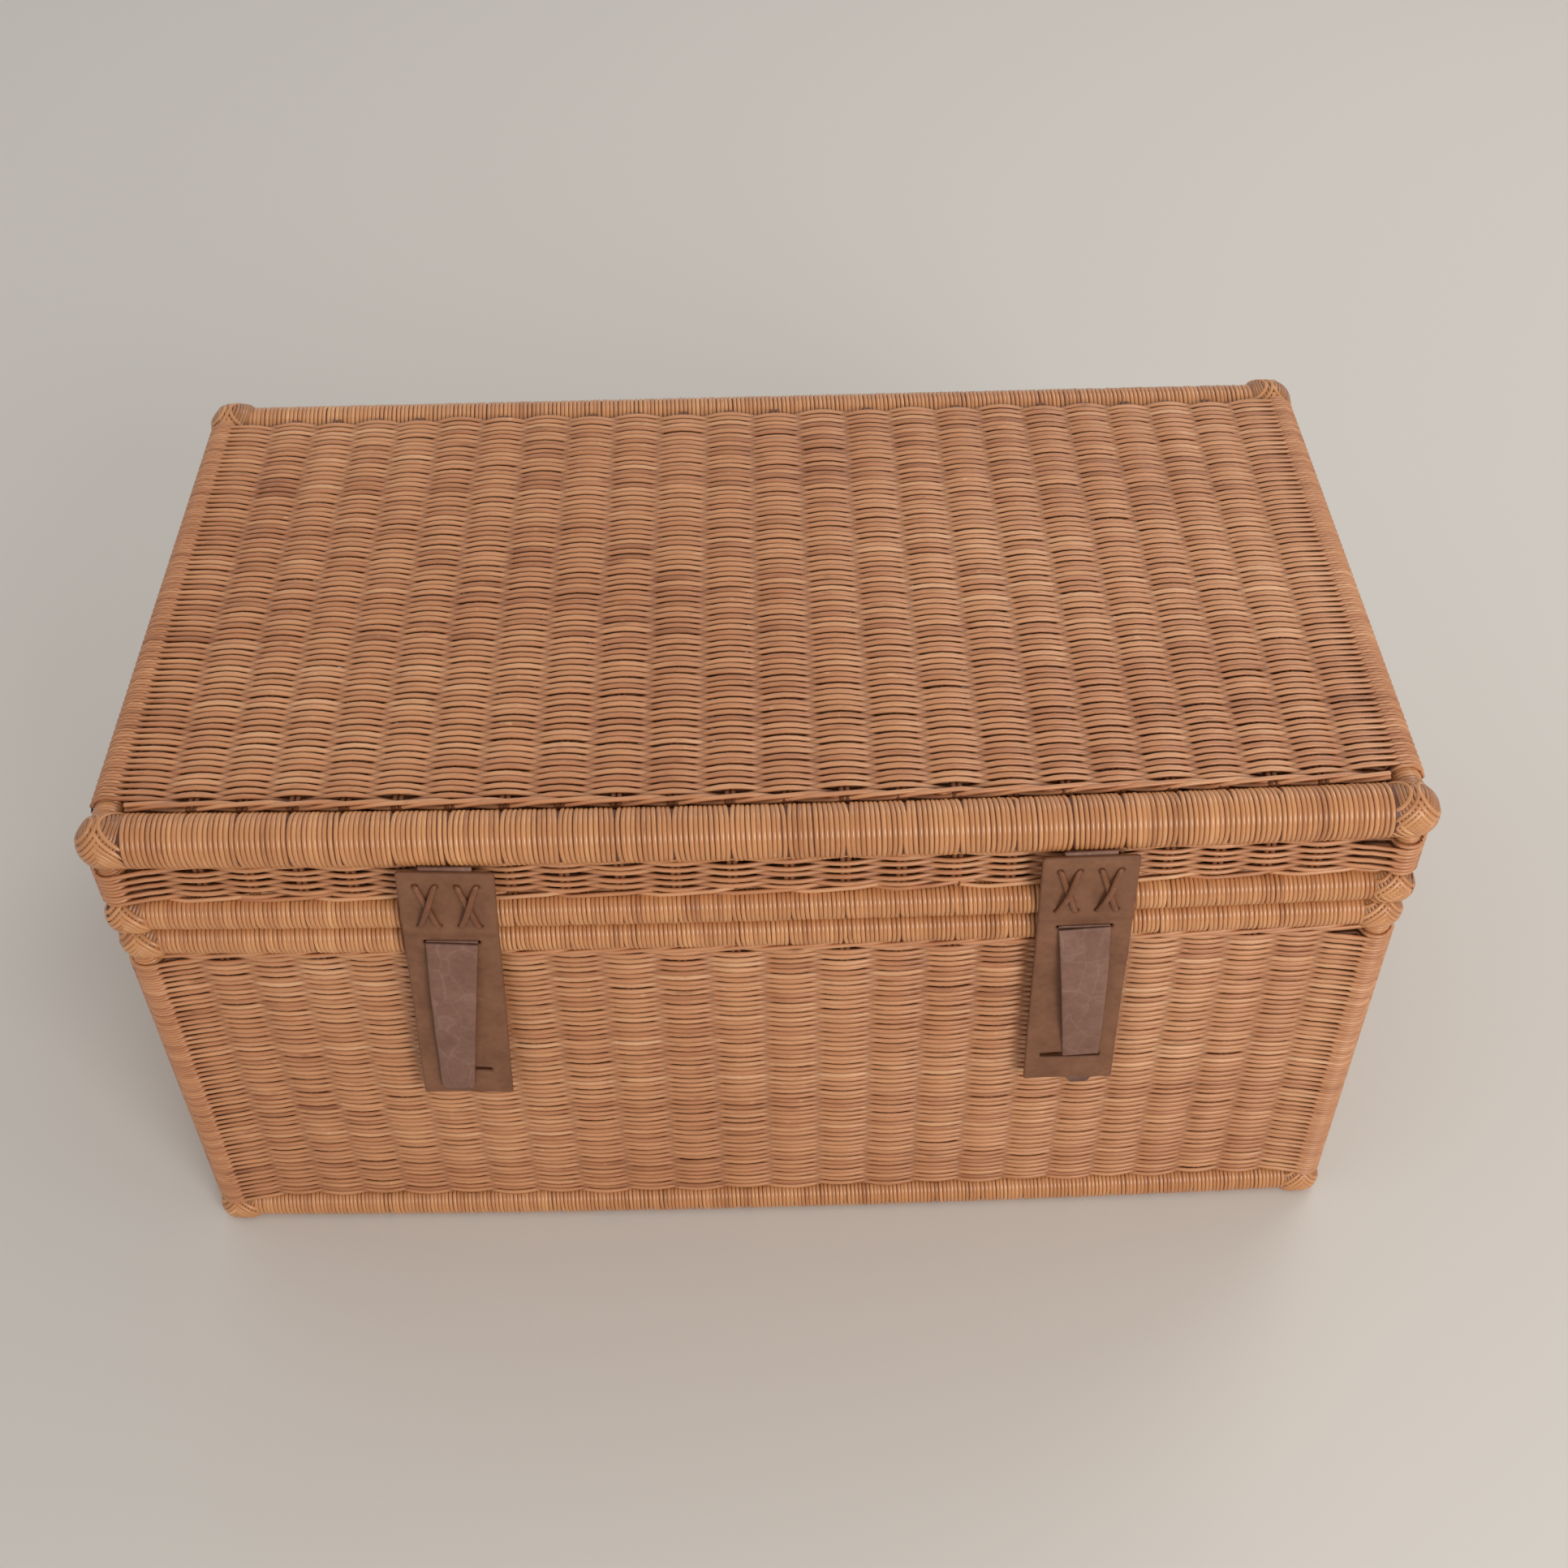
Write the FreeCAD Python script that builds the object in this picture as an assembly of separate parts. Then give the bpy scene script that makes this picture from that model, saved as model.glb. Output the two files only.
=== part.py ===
import FreeCAD, Part
import math
import os

os.makedirs("parts", exist_ok=True)

V = FreeCAD.Vector

# Woven rattan storage trunk with a hinged lid and two leather latches.
# Millimetres, +Z up, the front faces -Y, the floor is Z = 0.

# ---- overall frame -------------------------------------------------------
SET_BACK = 7.30           # moves the whole trunk back so that its box is centred
X_BASE = 377.0            # corner posts and side rails of the base
X_LID = 381.0             # corner posts and side rails of the lid
Y_RING = 215.3            # front and back rails of the three lower rings
Z_BOTTOM = 10.6           # axis of the bottom ring
Z_BASE_TOP = 297.2        # axis of the base's upper ring
Z_LID_LOW = 319.6         # axis of the lid's lower ring; at the back it is the hinge axis
Z_SEAM = 308.4            # where lid and base meet
SEAM_GAP = 0.3
BOW = 6.0                 # the long front side bulges this far at its middle
BOW_HALF = 384.0
BOW_R = (BOW_HALF ** 2 + BOW ** 2) / (2.0 * BOW)
FAR = 500.0               # beyond every face of the trunk

# ---- rails ---------------------------------------------------------------
RAIL_R = 11.0             # a rail with its cane binding
POLE_R = 9.6              # the rattan pole inside it
FIT = 0.05
POST_R = 8.0              # base corner post, its weavers bring it to RAIL_R
LID_POST_R = 7.0
LID_POST_WRAP_R = 10.0
POLE_END = 8.0            # a long pole runs this far past the corner
COLLAR = 16.0             # a corner lashing covers this much of each rail
COLLAR_GAP = 0.4          # left free between a lashing and the binding beside it
KNOB_R = 13.0
SLIM_END = 9.2            # a slim back lashing runs this far past the corner
SIDE_ARM_R = 10.7         # a lashing's arm along the side rail
POST_ARM_R = 10.85        # and along the post
SOCKET = 1.0              # the sockets of posts and side poles open into those of the long poles
FLOOR_WEAR = 0.3          # the bottom lashings are worn flat this far above the floor

# ---- lid top ring --------------------------------------------------------
THICK_R = 16.3            # the thick front and back rails of the lid, bound
THICK_POLE_R = 15.0
Y_TOP_FRONT = -212.5
Z_TOP_FRONT = 378.0
Y_TOP_BACK = 206.5
Z_TOP_BACK = 373.0
Z_TOP_SIDE = 379.0
SIDE_POLE_R = 8.0
X_TOP_KNOB = 382.0
TOP_KNOB_R = 16.4
KNOB_GAP = 0.3            # left free round a knob in the side weave
TOP_BIND_HALF = 364.0
TOP_COLLAR_GAP = 0.7
FRONT_POLE_HALF = 380.0
BACK_POLE_HALF = 372.0
LASHING_HALF = 376.5      # the top lashings' arms end here, inside the knobs
SIDE_BIND_FRONT = -193.0
SIDE_BIND_BACK = 187.0
Y_BACK_KNOB = 207.5
Z_BACK_KNOB = 376.0
Y_LID_POST_FRONT = -213.5
Y_LID_POST_BACK = 211.0
LID_WRAP_LOW = 333.0
LID_WRAP_FRONT_HIGH = 361.4
LID_WRAP_BACK_HIGH = 356.4

# ---- weave ---------------------------------------------------------------
WEAVE_T = 8.6             # two strands and the stakes between them
PANEL_OUT = 2.0           # wall panels stand this far outside the rail axes
PANEL_EDGE = 0.1          # left free between a panel's edge and the rail or post beside it
STAKE_R = 1.6
PAIR = 1.75               # half the distance between the two canes of a pair
CHANNEL_W = 7.2
CHANNEL_T = 3.5
CHANNEL_RUN_OUT = 5.0     # a channel leaves the panel at both ends
LONG_STAKES = 22
LONG_STAKE_SPAN = 660.0
STAKE_EASE = 0.02         # the long stakes stand wider apart in the middle than at the ends
SIDE_STAKES = 11
SIDE_STAKE_SPAN = 320.0
FLOOR_MID_Z = 12.6
TOP_MID_Z = 386.5
TOP_FRONT_EDGE = -196.6
TOP_BACK_EDGE = 192.8
APRON_FRONT_Y = -214.0
APRON_BACK_Y = 211.0
APRON_LOW_Z = 330.7
APRON_FRONT_HIGH_Z = 361.6
APRON_BACK_HIGH_Z = 356.6
APRON_SIDE_HIGH_Z = 367.9

# ---- hinge loops ---------------------------------------------------------
LOOP_X = (-255.9, 0.0, 255.9)
LOOP_W = 21.0
LOOP_R = 13.3
LOOP_TURNING_R = 11.08    # round the lid rail, which turns in it
LOOP_FIXED_R = 11.02      # round the base rail
WINDOW_W = 24.0           # opening left in the back weave for each loop
WINDOW_DEPTH = 9.0
WINDOW_HIGH = 336.6
WINDOW_LOW = 283.3

# ---- leather latches -----------------------------------------------------
LATCHES = (("left", -182.2, 3.24, 2.5), ("right", 191.5, -1.09, -3.1))
PLATE_W = 57.0
PLATE_T = 2.6
PLATE_TOP = 368.3
PLATE_PIVOT_Z = 363.0     # each latch leans about this height
PLATE_BOTTOM = 158.0
PLATE_IN_Y = -233.7
PLATE_OUT_Y = PLATE_IN_Y - PLATE_T
FLEX_Z = 315.0            # the leather flexes here, level with the seam
FLEX_Y = PLATE_IN_Y - PLATE_T / 2
LATCH_LOW = FLEX_Z + PLATE_T / 2 + 0.1   # lower edge of the laced part, just clear of the flex
STRAP_IN_Y = PLATE_IN_Y + 0.1            # the strap lies behind the plate
SLIT_Z = 308.0
SLIT_H = 3.2
SLIT_W = 34.0
LOW_SLIT_Z = 183.0
LOW_SLIT_H = 3.9
LOW_SLIT_W = 32.5
STRAP_W = 31.0
STRAP_T = 2.0
STRAP_TOP = 369.3
TONGUE_T = 2.2
TONGUE_GAP = 0.4
TONGUE_END_W = 20.5
TONGUE_NOSE = 4.0         # the tongue's end corners are cut off by this much
TONGUE_END_Z = 163.0      # where the loose tongue ends
TONGUE_TIP_Z = 148.0      # where the tucked tongue ends, behind the flap
TUCKED_T = 1.6            # the tucked tongue is skived, so that it passes the slit
OPEN_SLIT = (38.0, 5.6)   # width and height of the slit that it holds open
LOOSE_RISE = 3.4          # how far the tongue bulges forward between its ends
TUCKED_RISE = 4.6
HOLE_X = (-18.0, -6.0, 6.0, 18.0)
HOLE_HIGH_Z = 357.3
HOLE_LOW_Z = 322.8
LACE_R = 1.4
LACE_LIFT = 2 * LACE_R + 0.25   # where one lace crosses over the other
LACE_X = 150.0            # the front's bow is taken here for the depth of the lace ends
LACE_IN_APRON = 2.2       # how deep the laces enter the weave
LACE_IN_RAIL = 1.6        # and the rail's binding
HOLE_R = 1.55
CUT = 1.0                 # tools for holes and slits pass the leather by this much

EX = V(1, 0, 0)
EY = V(0, 1, 0)
EZ = V(0, 0, 1)


def bow(x):
    """How far the front stands forward of a straight line at x."""
    return math.sqrt(BOW_R ** 2 - x ** 2) - (BOW_R - BOW)


def rod(p, q, r):
    d = q.sub(p)
    return Part.makeCylinder(r, d.Length, p, d)


def sleeve(p, q, r_in, r_out):
    return rod(p, q, r_out).cut(rod(p, q, r_in))


def block(x0, x1, y0, y1, z0, z1):
    return Part.makeBox(x1 - x0, y1 - y0, z1 - z0, V(x0, y0, z0))


def layer(z0, z1):
    """Everything between two heights."""
    return block(-FAR, FAR, -FAR, FAR, z0, z1)


def largest(shape):
    return max(shape.Solids, key=lambda s: s.Volume)


def fused(shapes):
    out = shapes[0]
    for s in shapes[1:]:
        out = out.fuse(s)
    return out.removeSplitter()


def trimmed(shape, cutters):
    for c in cutters:
        shape = shape.cut(c)
    return shape


def spread(count, span, ease=0.0):
    """Places from -span / 2 to span / 2, even when ease is 0."""
    out = []
    for i in range(count):
        t = 2.0 * i / (count - 1) - 1.0
        out.append(span / 2 * (t + ease * math.sin(math.pi * t)))
    return out


def bowed(face, y, half):
    """Sweep a section, drawn in the plane X = 0, along the bowed front from -half to half."""
    centre = V(0, y - BOW + BOW_R, 0)
    turn = math.degrees(math.asin(half / BOW_R))
    face.rotate(centre, EZ, -turn)
    return face.revolve(centre, EZ, 2 * turn)


def disc(y, z, r):
    return Part.Face(Part.Wire(Part.makeCircle(r, V(0, y, z), EX)))


def front_rod(y, z, r, half):
    return bowed(disc(y - BOW, z, r), y, half)


def front_sleeve(y, z, r_in, r_out, half):
    ring = disc(y - BOW, z, r_out).cut(disc(y - BOW, z, r_in))
    return bowed(ring.Faces[0], y, half)


# ---- rails of one ring ---------------------------------------------------
def ring_poles(x, z):
    """Front, back, left and right pole of a lower ring; the side poles butt on the long ones."""
    end = x + POLE_END
    butt = Y_RING - POLE_R - FIT
    front = front_rod(-Y_RING, z, POLE_R, end)
    back = rod(V(-end, Y_RING, z), V(end, Y_RING, z), POLE_R)
    sides = [rod(V(sx * x, -butt, z), V(sx * x, butt, z), POLE_R) for sx in (-1, 1)]
    return front, back, sides[0], sides[1]


def ring_sockets(x, z):
    """Tools for the sockets in the corner lashings that take the poles of a lower ring."""
    end = x + POLE_END
    start = x - COLLAR - SOCKET
    butt = Y_RING - POLE_R - FIT + SOCKET
    r = POLE_R + FIT
    tools = [rod(V(-end, Y_RING, z), V(end, Y_RING, z), r)]
    for sx in (-1, 1):
        tools.append(rod(V(sx * start, -Y_RING - bow(start), z), V(sx * end, -Y_RING - bow(end), z), r))
        tools.append(rod(V(sx * x, -butt, z), V(sx * x, butt, z), r))
    return tools


def ring_binding(x, z):
    """Cane binding round the four rails of a lower ring, between the corner lashings."""
    half = x - COLLAR
    y = Y_RING - COLLAR
    inner = POLE_R + FIT
    front = front_sleeve(-Y_RING, z, inner, RAIL_R, half)
    back = sleeve(V(-half, Y_RING, z), V(half, Y_RING, z), inner, RAIL_R)
    sides = [sleeve(V(sx * x, -y, z), V(sx * x, y, z), inner, RAIL_R) for sx in (-1, 1)]
    return front, back, sides[0], sides[1]


def corner_posts(x, front, back, r):
    """Four uprights; front and back each give y, lower end and upper end."""
    posts = []
    for sx in (-1, 1):
        for y, z0, z1 in (front, back):
            posts.append(rod(V(sx * x, y, z0), V(sx * x, y, z1), r))
    return posts


def post_sockets(x, front, back, r):
    """Tools for the sockets that take the posts; they open into the sockets of the poles."""
    longer = [(y, z0 - SOCKET, z1 + SOCKET) for y, z0, z1 in (front, back)]
    return corner_posts(x, longer[0], longer[1], r)


def ring_lashings(x, z, post, slim_back, cutters, z_min=None, z_max=None):
    """Criss-cross cane lashing round each corner.

    post is +1 or -1 where the lashing also runs up or down a corner post, else 0. Slim back
    lashings stay within the rail's radius, so that the lid can turn past the base.
    """
    out = []
    start = x - COLLAR + COLLAR_GAP
    for sx in (-1, 1):
        for sy in (-1, 1):
            c = V(sx * x, sy * Y_RING, z)
            if sy < 0:
                pieces = [Part.makeSphere(KNOB_R, c)]
                arm_end = V(sx * x, -Y_RING - bow(x), z)
                pieces.append(rod(V(sx * start, -Y_RING - bow(start), z), arm_end, RAIL_R))
            elif slim_back:
                pieces = [rod(V(sx * start, Y_RING, z), c + EX * (sx * SLIM_END), RAIL_R)]
            else:
                pieces = [Part.makeSphere(KNOB_R, c), rod(V(sx * start, Y_RING, z), c, RAIL_R)]
            pieces.append(rod(c - EY * (sy * COLLAR), c, SIDE_ARM_R))
            if post:
                pieces.append(rod(c, c + EZ * (post * COLLAR), POST_ARM_R))
            knob = trimmed(fused(pieces), cutters)
            if z_min is not None:
                knob = knob.cut(layer(z_min - FAR, z_min))
            if z_max is not None:
                knob = knob.cut(layer(z_max, z_max + FAR))
            out.append(largest(knob))
    return out


# ---- woven panels --------------------------------------------------------
def pair_rods(p, q, across):
    """The two canes of one stake pair between p and q."""
    return [rod(p + across * (s * PAIR), q + across * (s * PAIR), STAKE_R) for s in (-1, 1)]


def channel(p, q, across):
    """Box-shaped passage for a stake pair; across is the unit vector in the panel's plane."""
    along = q.sub(p)
    along.normalize()
    normal = along.cross(across)
    a = across * (CHANNEL_W / 2)
    n = normal * (CHANNEL_T / 2)
    start = p - along * CHANNEL_RUN_OUT
    ring = Part.makePolygon([start - a - n, start + a - n, start + a + n, start - a + n, start - a - n])
    return Part.Face(ring).extrude(q.sub(p) + along * (2 * CHANNEL_RUN_OUT))


def wall_front(y_mid, z0, z1, half):
    near = y_mid - BOW - WEAVE_T / 2
    far = y_mid - BOW + WEAVE_T / 2
    ring = Part.makePolygon([V(0, near, z0), V(0, far, z0), V(0, far, z1), V(0, near, z1), V(0, near, z0)])
    return bowed(Part.Face(ring), y_mid, half)


def wall_back(y_mid, z0, z1, half, window_z0, window_z1):
    """Back panel, with an opening for each hinge loop in the edge that meets the rail."""
    panel = block(-half, half, y_mid - WEAVE_T / 2, y_mid + WEAVE_T / 2, z0, z1)
    w = WINDOW_W / 2
    y0 = y_mid - WINDOW_DEPTH
    y1 = y_mid + WINDOW_DEPTH
    return trimmed(panel, [block(c - w, c + w, y0, y1, window_z0, window_z1) for c in LOOP_X])


def wall_side(x_mid, y0, y1, z0, z1):
    return block(x_mid - WEAVE_T / 2, x_mid + WEAVE_T / 2, y0, y1, z0, z1)


def deck(x, y_front, y_back, z_mid):
    """Horizontal panel whose front edge follows the bow."""
    z = z_mid - WEAVE_T / 2
    edge = bow(x)
    a = V(-x, y_front - edge, z)
    b = V(x, y_front - edge, z)
    arc = Part.Arc(a, V(0, y_front - BOW, z), b).toShape()
    c = V(x, y_back, z)
    d = V(-x, y_back, z)
    wire = Part.Wire([arc, Part.makeLine(b, c), Part.makeLine(c, d), Part.makeLine(d, a)])
    return Part.Face(wire).extrude(EZ * WEAVE_T)


def woven(panel, ends, across):
    """Cut the stake channels into a panel and make the stakes."""
    stakes = []
    for p, q in ends:
        panel = panel.cut(channel(p, q, across))
        stakes += pair_rods(p, q, across)
    return panel, stakes


def reach(r, offset):
    """Distance from a rail's axis at which a cane, offset from that axis, just meets the rail."""
    return math.sqrt(r ** 2 - max(abs(offset) - STAKE_R, 0.0) ** 2)


def upright(x, y, low, high):
    return V(x, y, low), V(x, y, high)


def base_panels():
    low = Z_BOTTOM + reach(RAIL_R, PANEL_OUT)
    high = Z_BASE_TOP - reach(RAIL_R, PANEL_OUT)
    z0 = Z_BOTTOM + RAIL_R + FIT
    z1 = Z_BASE_TOP - RAIL_R - FIT
    y = Y_RING + PANEL_OUT
    x = X_BASE + PANEL_OUT
    half = X_BASE - RAIL_R - PANEL_EDGE
    depth = Y_RING - RAIL_R - PANEL_EDGE
    xs = spread(LONG_STAKES, LONG_STAKE_SPAN, STAKE_EASE)
    ys = spread(SIDE_STAKES, SIDE_STAKE_SPAN)
    front_wall = wall_front(-y, z0, z1, half)
    front = woven(front_wall, [upright(s, -y - bow(s), low, high) for s in xs], EX)
    back_wall = wall_back(y, z0, z1, half, WINDOW_LOW, z1 + CUT)
    back = woven(back_wall, [upright(s, y, low, high) for s in xs], EX)
    sides = []
    for sx in (-1, 1):
        wall = wall_side(sx * x, -depth, depth, z0, z1)
        sides.append(woven(wall, [upright(sx * x, s, low, high) for s in ys], EY))
    edge = Y_RING - reach(RAIL_R, FLOOR_MID_Z - Z_BOTTOM)
    ends = [(V(s, -edge - bow(s), FLOOR_MID_Z), V(s, edge, FLOOR_MID_Z)) for s in xs]
    floor = woven(deck(half, -depth, depth, FLOOR_MID_Z), ends, EX)
    return front, back, sides[0], sides[1], floor


def top_knob_centres(sx):
    """Front and back knob of one side of the lid's upper ring."""
    x = sx * X_TOP_KNOB
    return V(x, Y_TOP_FRONT, Z_TOP_FRONT), V(x, Y_BACK_KNOB, Z_BACK_KNOB)


def lid_panels():
    xs = spread(LONG_STAKES, LONG_STAKE_SPAN, STAKE_EASE)
    ys = spread(SIDE_STAKES, SIDE_STAKE_SPAN)
    half = X_LID - LID_POST_WRAP_R - 2 * PANEL_EDGE
    low = Z_LID_LOW + reach(RAIL_R, Y_RING + APRON_FRONT_Y)
    high = Z_TOP_FRONT - reach(THICK_R, APRON_FRONT_Y - Y_TOP_FRONT)
    front_wall = wall_front(APRON_FRONT_Y, APRON_LOW_Z, APRON_FRONT_HIGH_Z, half)
    front = woven(front_wall, [upright(s, APRON_FRONT_Y - bow(s), low, high) for s in xs], EX)
    low = Z_LID_LOW + reach(RAIL_R, Y_RING - APRON_BACK_Y)
    high = Z_TOP_BACK - reach(THICK_R, APRON_BACK_Y - Y_TOP_BACK)
    back_wall = wall_back(APRON_BACK_Y, APRON_LOW_Z, APRON_BACK_HIGH_Z, half, Z_LID_LOW, WINDOW_HIGH)
    back = woven(back_wall, [upright(s, APRON_BACK_Y, low, high) for s in xs], EX)
    low = Z_LID_LOW + reach(RAIL_R, 0)
    high = Z_TOP_SIDE - reach(RAIL_R, 0)
    y0 = Y_LID_POST_FRONT + LID_POST_WRAP_R + PANEL_EDGE
    y1 = Y_LID_POST_BACK - LID_POST_WRAP_R - PANEL_EDGE
    sides = []
    for sx in (-1, 1):
        wall = wall_side(sx * X_LID, y0, y1, APRON_LOW_Z, APRON_SIDE_HIGH_Z)
        wall = trimmed(wall, [Part.makeSphere(TOP_KNOB_R + KNOB_GAP, c) for c in top_knob_centres(sx)])
        sides.append(woven(wall, [upright(sx * X_LID, s, low, high) for s in ys], EY))
    y0 = Y_TOP_FRONT + reach(THICK_R, TOP_MID_Z - Z_TOP_FRONT)
    y1 = Y_TOP_BACK - math.sqrt(THICK_R ** 2 - (TOP_MID_Z - STAKE_R - Z_TOP_BACK) ** 2)
    inside = X_LID - RAIL_R - PANEL_EDGE
    ends = [(V(s, y0 - bow(s), TOP_MID_Z), V(s, y1, TOP_MID_Z)) for s in xs]
    top = woven(deck(inside, TOP_FRONT_EDGE, TOP_BACK_EDGE, TOP_MID_Z), ends, EX)
    return front, back, sides[0], sides[1], top


# ---- lid top ring --------------------------------------------------------
def top_long_poles(r):
    """Front and back pole of the lid's upper ring at radius r."""
    front = front_rod(Y_TOP_FRONT, Z_TOP_FRONT, r, FRONT_POLE_HALF)
    back = rod(V(-BACK_POLE_HALF, Y_TOP_BACK, Z_TOP_BACK), V(BACK_POLE_HALF, Y_TOP_BACK, Z_TOP_BACK), r)
    return front, back


def top_side_pole(sx, r):
    return rod(V(sx * X_LID, Y_TOP_FRONT, Z_TOP_SIDE), V(sx * X_LID, Y_TOP_BACK, Z_TOP_SIDE), r)


def lid_top_poles():
    front, back = top_long_poles(THICK_POLE_R)
    r = THICK_POLE_R + FIT
    stops = [rod(V(-FAR, Y_TOP_FRONT, Z_TOP_FRONT), V(FAR, Y_TOP_FRONT, Z_TOP_FRONT), r),
             rod(V(-FAR, Y_TOP_BACK, Z_TOP_BACK), V(FAR, Y_TOP_BACK, Z_TOP_BACK), r)]
    sides = [largest(trimmed(top_side_pole(sx, SIDE_POLE_R), stops)) for sx in (-1, 1)]
    return front, back, sides[0], sides[1]


def lid_top_binding():
    inner = THICK_POLE_R + FIT
    half = TOP_BIND_HALF
    front = front_sleeve(Y_TOP_FRONT, Z_TOP_FRONT, inner, THICK_R, half)
    back = sleeve(V(-half, Y_TOP_BACK, Z_TOP_BACK), V(half, Y_TOP_BACK, Z_TOP_BACK), inner, THICK_R)
    sides = []
    for sx in (-1, 1):
        start = V(sx * X_LID, SIDE_BIND_FRONT, Z_TOP_SIDE)
        end = V(sx * X_LID, SIDE_BIND_BACK, Z_TOP_SIDE)
        sides.append(sleeve(start, end, SIDE_POLE_R + FIT, RAIL_R))
    return [front, back] + sides


def top_lashing(sx, knob, y, z, arm_y, cutters):
    """Lashing of one upper corner: a knob with an arm along each rail."""
    pieces = [Part.makeSphere(TOP_KNOB_R, knob)]
    arm_start = V(sx * (TOP_BIND_HALF + TOP_COLLAR_GAP), y, z)
    pieces.append(rod(arm_start, V(sx * LASHING_HALF, y, z), THICK_R))
    pieces.append(rod(V(sx * X_LID, arm_y, Z_TOP_SIDE), V(sx * X_LID, y, Z_TOP_SIDE), RAIL_R))
    return largest(trimmed(fused(pieces), cutters))


def lid_top_lashings(cutters):
    out = []
    for sx in (-1, 1):
        front, back = top_knob_centres(sx)
        out.append(top_lashing(sx, front, Y_TOP_FRONT, Z_TOP_FRONT, SIDE_BIND_FRONT, cutters))
        out.append(top_lashing(sx, back, Y_TOP_BACK, Z_TOP_BACK, SIDE_BIND_BACK, cutters))
    return out


# ---- hinge ---------------------------------------------------------------
def hinge_loop(xc):
    """Leather loop round the lid's lower rail and the base's upper rail."""
    x0 = xc - LOOP_W / 2
    x1 = xc + LOOP_W / 2
    top0 = V(x0, Y_RING, Z_LID_LOW)
    top1 = V(x1, Y_RING, Z_LID_LOW)
    low0 = V(x0, Y_RING, Z_BASE_TOP)
    low1 = V(x1, Y_RING, Z_BASE_TOP)
    outer = fused([rod(top0, top1, LOOP_R), rod(low0, low1, LOOP_R),
                   block(x0, x1, Y_RING - LOOP_R, Y_RING + LOOP_R, Z_BASE_TOP, Z_LID_LOW)])
    inner = fused([rod(top0, top1, LOOP_TURNING_R), rod(low0, low1, LOOP_FIXED_R),
                   block(x0, x1, Y_RING - LOOP_FIXED_R, Y_RING + LOOP_FIXED_R, Z_BASE_TOP, Z_LID_LOW)])
    return outer.cut(inner)


# ---- latches -------------------------------------------------------------
def placed(shape, x, tilt):
    """Tilt a latch piece in the front plane about the middle of the plate's upper edge."""
    out = shape.copy()
    out.rotate(V(0, 0, PLATE_PIVOT_Z), EY, tilt)
    out.translate(V(x, 0, 0))
    return out


def holes(y0, y1, r, xs):
    return [rod(V(x, y0, z), V(x, y1, z), r) for x in xs for z in (HOLE_HIGH_Z, HOLE_LOW_Z)]


def latch_plate():
    """Upper part of the plate, laced to the lid."""
    plate = block(-PLATE_W / 2, PLATE_W / 2, PLATE_OUT_Y, PLATE_IN_Y, LATCH_LOW, PLATE_TOP)
    return trimmed(plate, holes(PLATE_OUT_Y - CUT, PLATE_IN_Y + CUT, HOLE_R, HOLE_X))


def slit(width, z, height):
    return block(-width / 2, width / 2, PLATE_OUT_Y - CUT, PLATE_IN_Y + CUT, z - height / 2, z + height / 2)


def latch_flap(low_slit_w, low_slit_h):
    """Lower part of the plate with its two slits; its rolled upper edge is the flex line."""
    slab = block(-PLATE_W / 2, PLATE_W / 2, PLATE_OUT_Y, PLATE_IN_Y, PLATE_BOTTOM, FLEX_Z)
    bead = rod(V(-PLATE_W / 2, FLEX_Y, FLEX_Z), V(PLATE_W / 2, FLEX_Y, FLEX_Z), PLATE_T / 2)
    slits = [slit(SLIT_W, SLIT_Z, SLIT_H), slit(low_slit_w, LOW_SLIT_Z, low_slit_h)]
    return trimmed(fused([slab, bead]), slits)


def latch_strap():
    """Strap behind the plate: held by the lacing, its upper edge shows above the plate."""
    back = STRAP_IN_Y + STRAP_T
    strap = block(-STRAP_W / 2, STRAP_W / 2, STRAP_IN_Y, back, LATCH_LOW, STRAP_TOP)
    return trimmed(strap, holes(STRAP_IN_Y - CUT, back + CUT, HOLE_R, HOLE_X[1:3]))


def strap_root():
    """The strap's short bend that comes forward through the upper slit."""
    back = STRAP_IN_Y + STRAP_T
    t = STRAP_T / 2
    strip = block(-STRAP_W / 2, STRAP_W / 2, STRAP_IN_Y, back, SLIT_Z - t, FLEX_Z - PLATE_T / 2)
    neck = block(-STRAP_W / 2, STRAP_W / 2, PLATE_OUT_Y, back, SLIT_Z - t, SLIT_Z + t)
    return fused([strip, neck])


def band(points, t):
    """Profile of even thickness along a line of (outward, height) points."""
    left = []
    right = []
    n = len(points)
    for i, (w, z) in enumerate(points):
        a = points[max(i - 1, 0)]
        b = points[min(i + 1, n - 1)]
        dw = b[0] - a[0]
        dz = b[1] - a[1]
        k = t / 2 / math.hypot(dw, dz)
        left.append((w - dz * k, z + dw * k))
        right.append((w + dz * k, z - dw * k))
    loop = left + right[::-1]
    pts = [V(0, PLATE_OUT_Y - w, z) for w, z in loop]
    return Part.Face(Part.makePolygon(pts + [pts[0]]))


def tongue_line(tucked):
    """Middle line of the tongue, as (outward, height) from the flap's outer face."""
    w0 = TONGUE_GAP + TONGUE_T / 2
    rise = TUCKED_RISE if tucked else LOOSE_RISE
    low = LOW_SLIT_Z + 7 if tucked else TONGUE_END_Z
    steps = 14
    line = []
    for i in range(steps + 1):
        f = i / steps
        line.append((w0 + rise * math.sin(math.pi * f ** 0.8) ** 1.2, SLIT_Z - (SLIT_Z - low) * f))
    if tucked:
        middle = -PLATE_T / 2
        behind = 2 * middle - w0 - 0.3
        line.append((w0, LOW_SLIT_Z + 3.0))
        line.append((middle + 1.9, LOW_SLIT_Z + 0.7))
        line.append((middle, LOW_SLIT_Z))
        line.append((middle - 1.9, LOW_SLIT_Z - 0.7))
        line.append((behind, LOW_SLIT_Z - 3.0))
        line.append((behind, LOW_SLIT_Z - 6.0))
        line.append((behind, TONGUE_TIP_Z))
    return line


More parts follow.
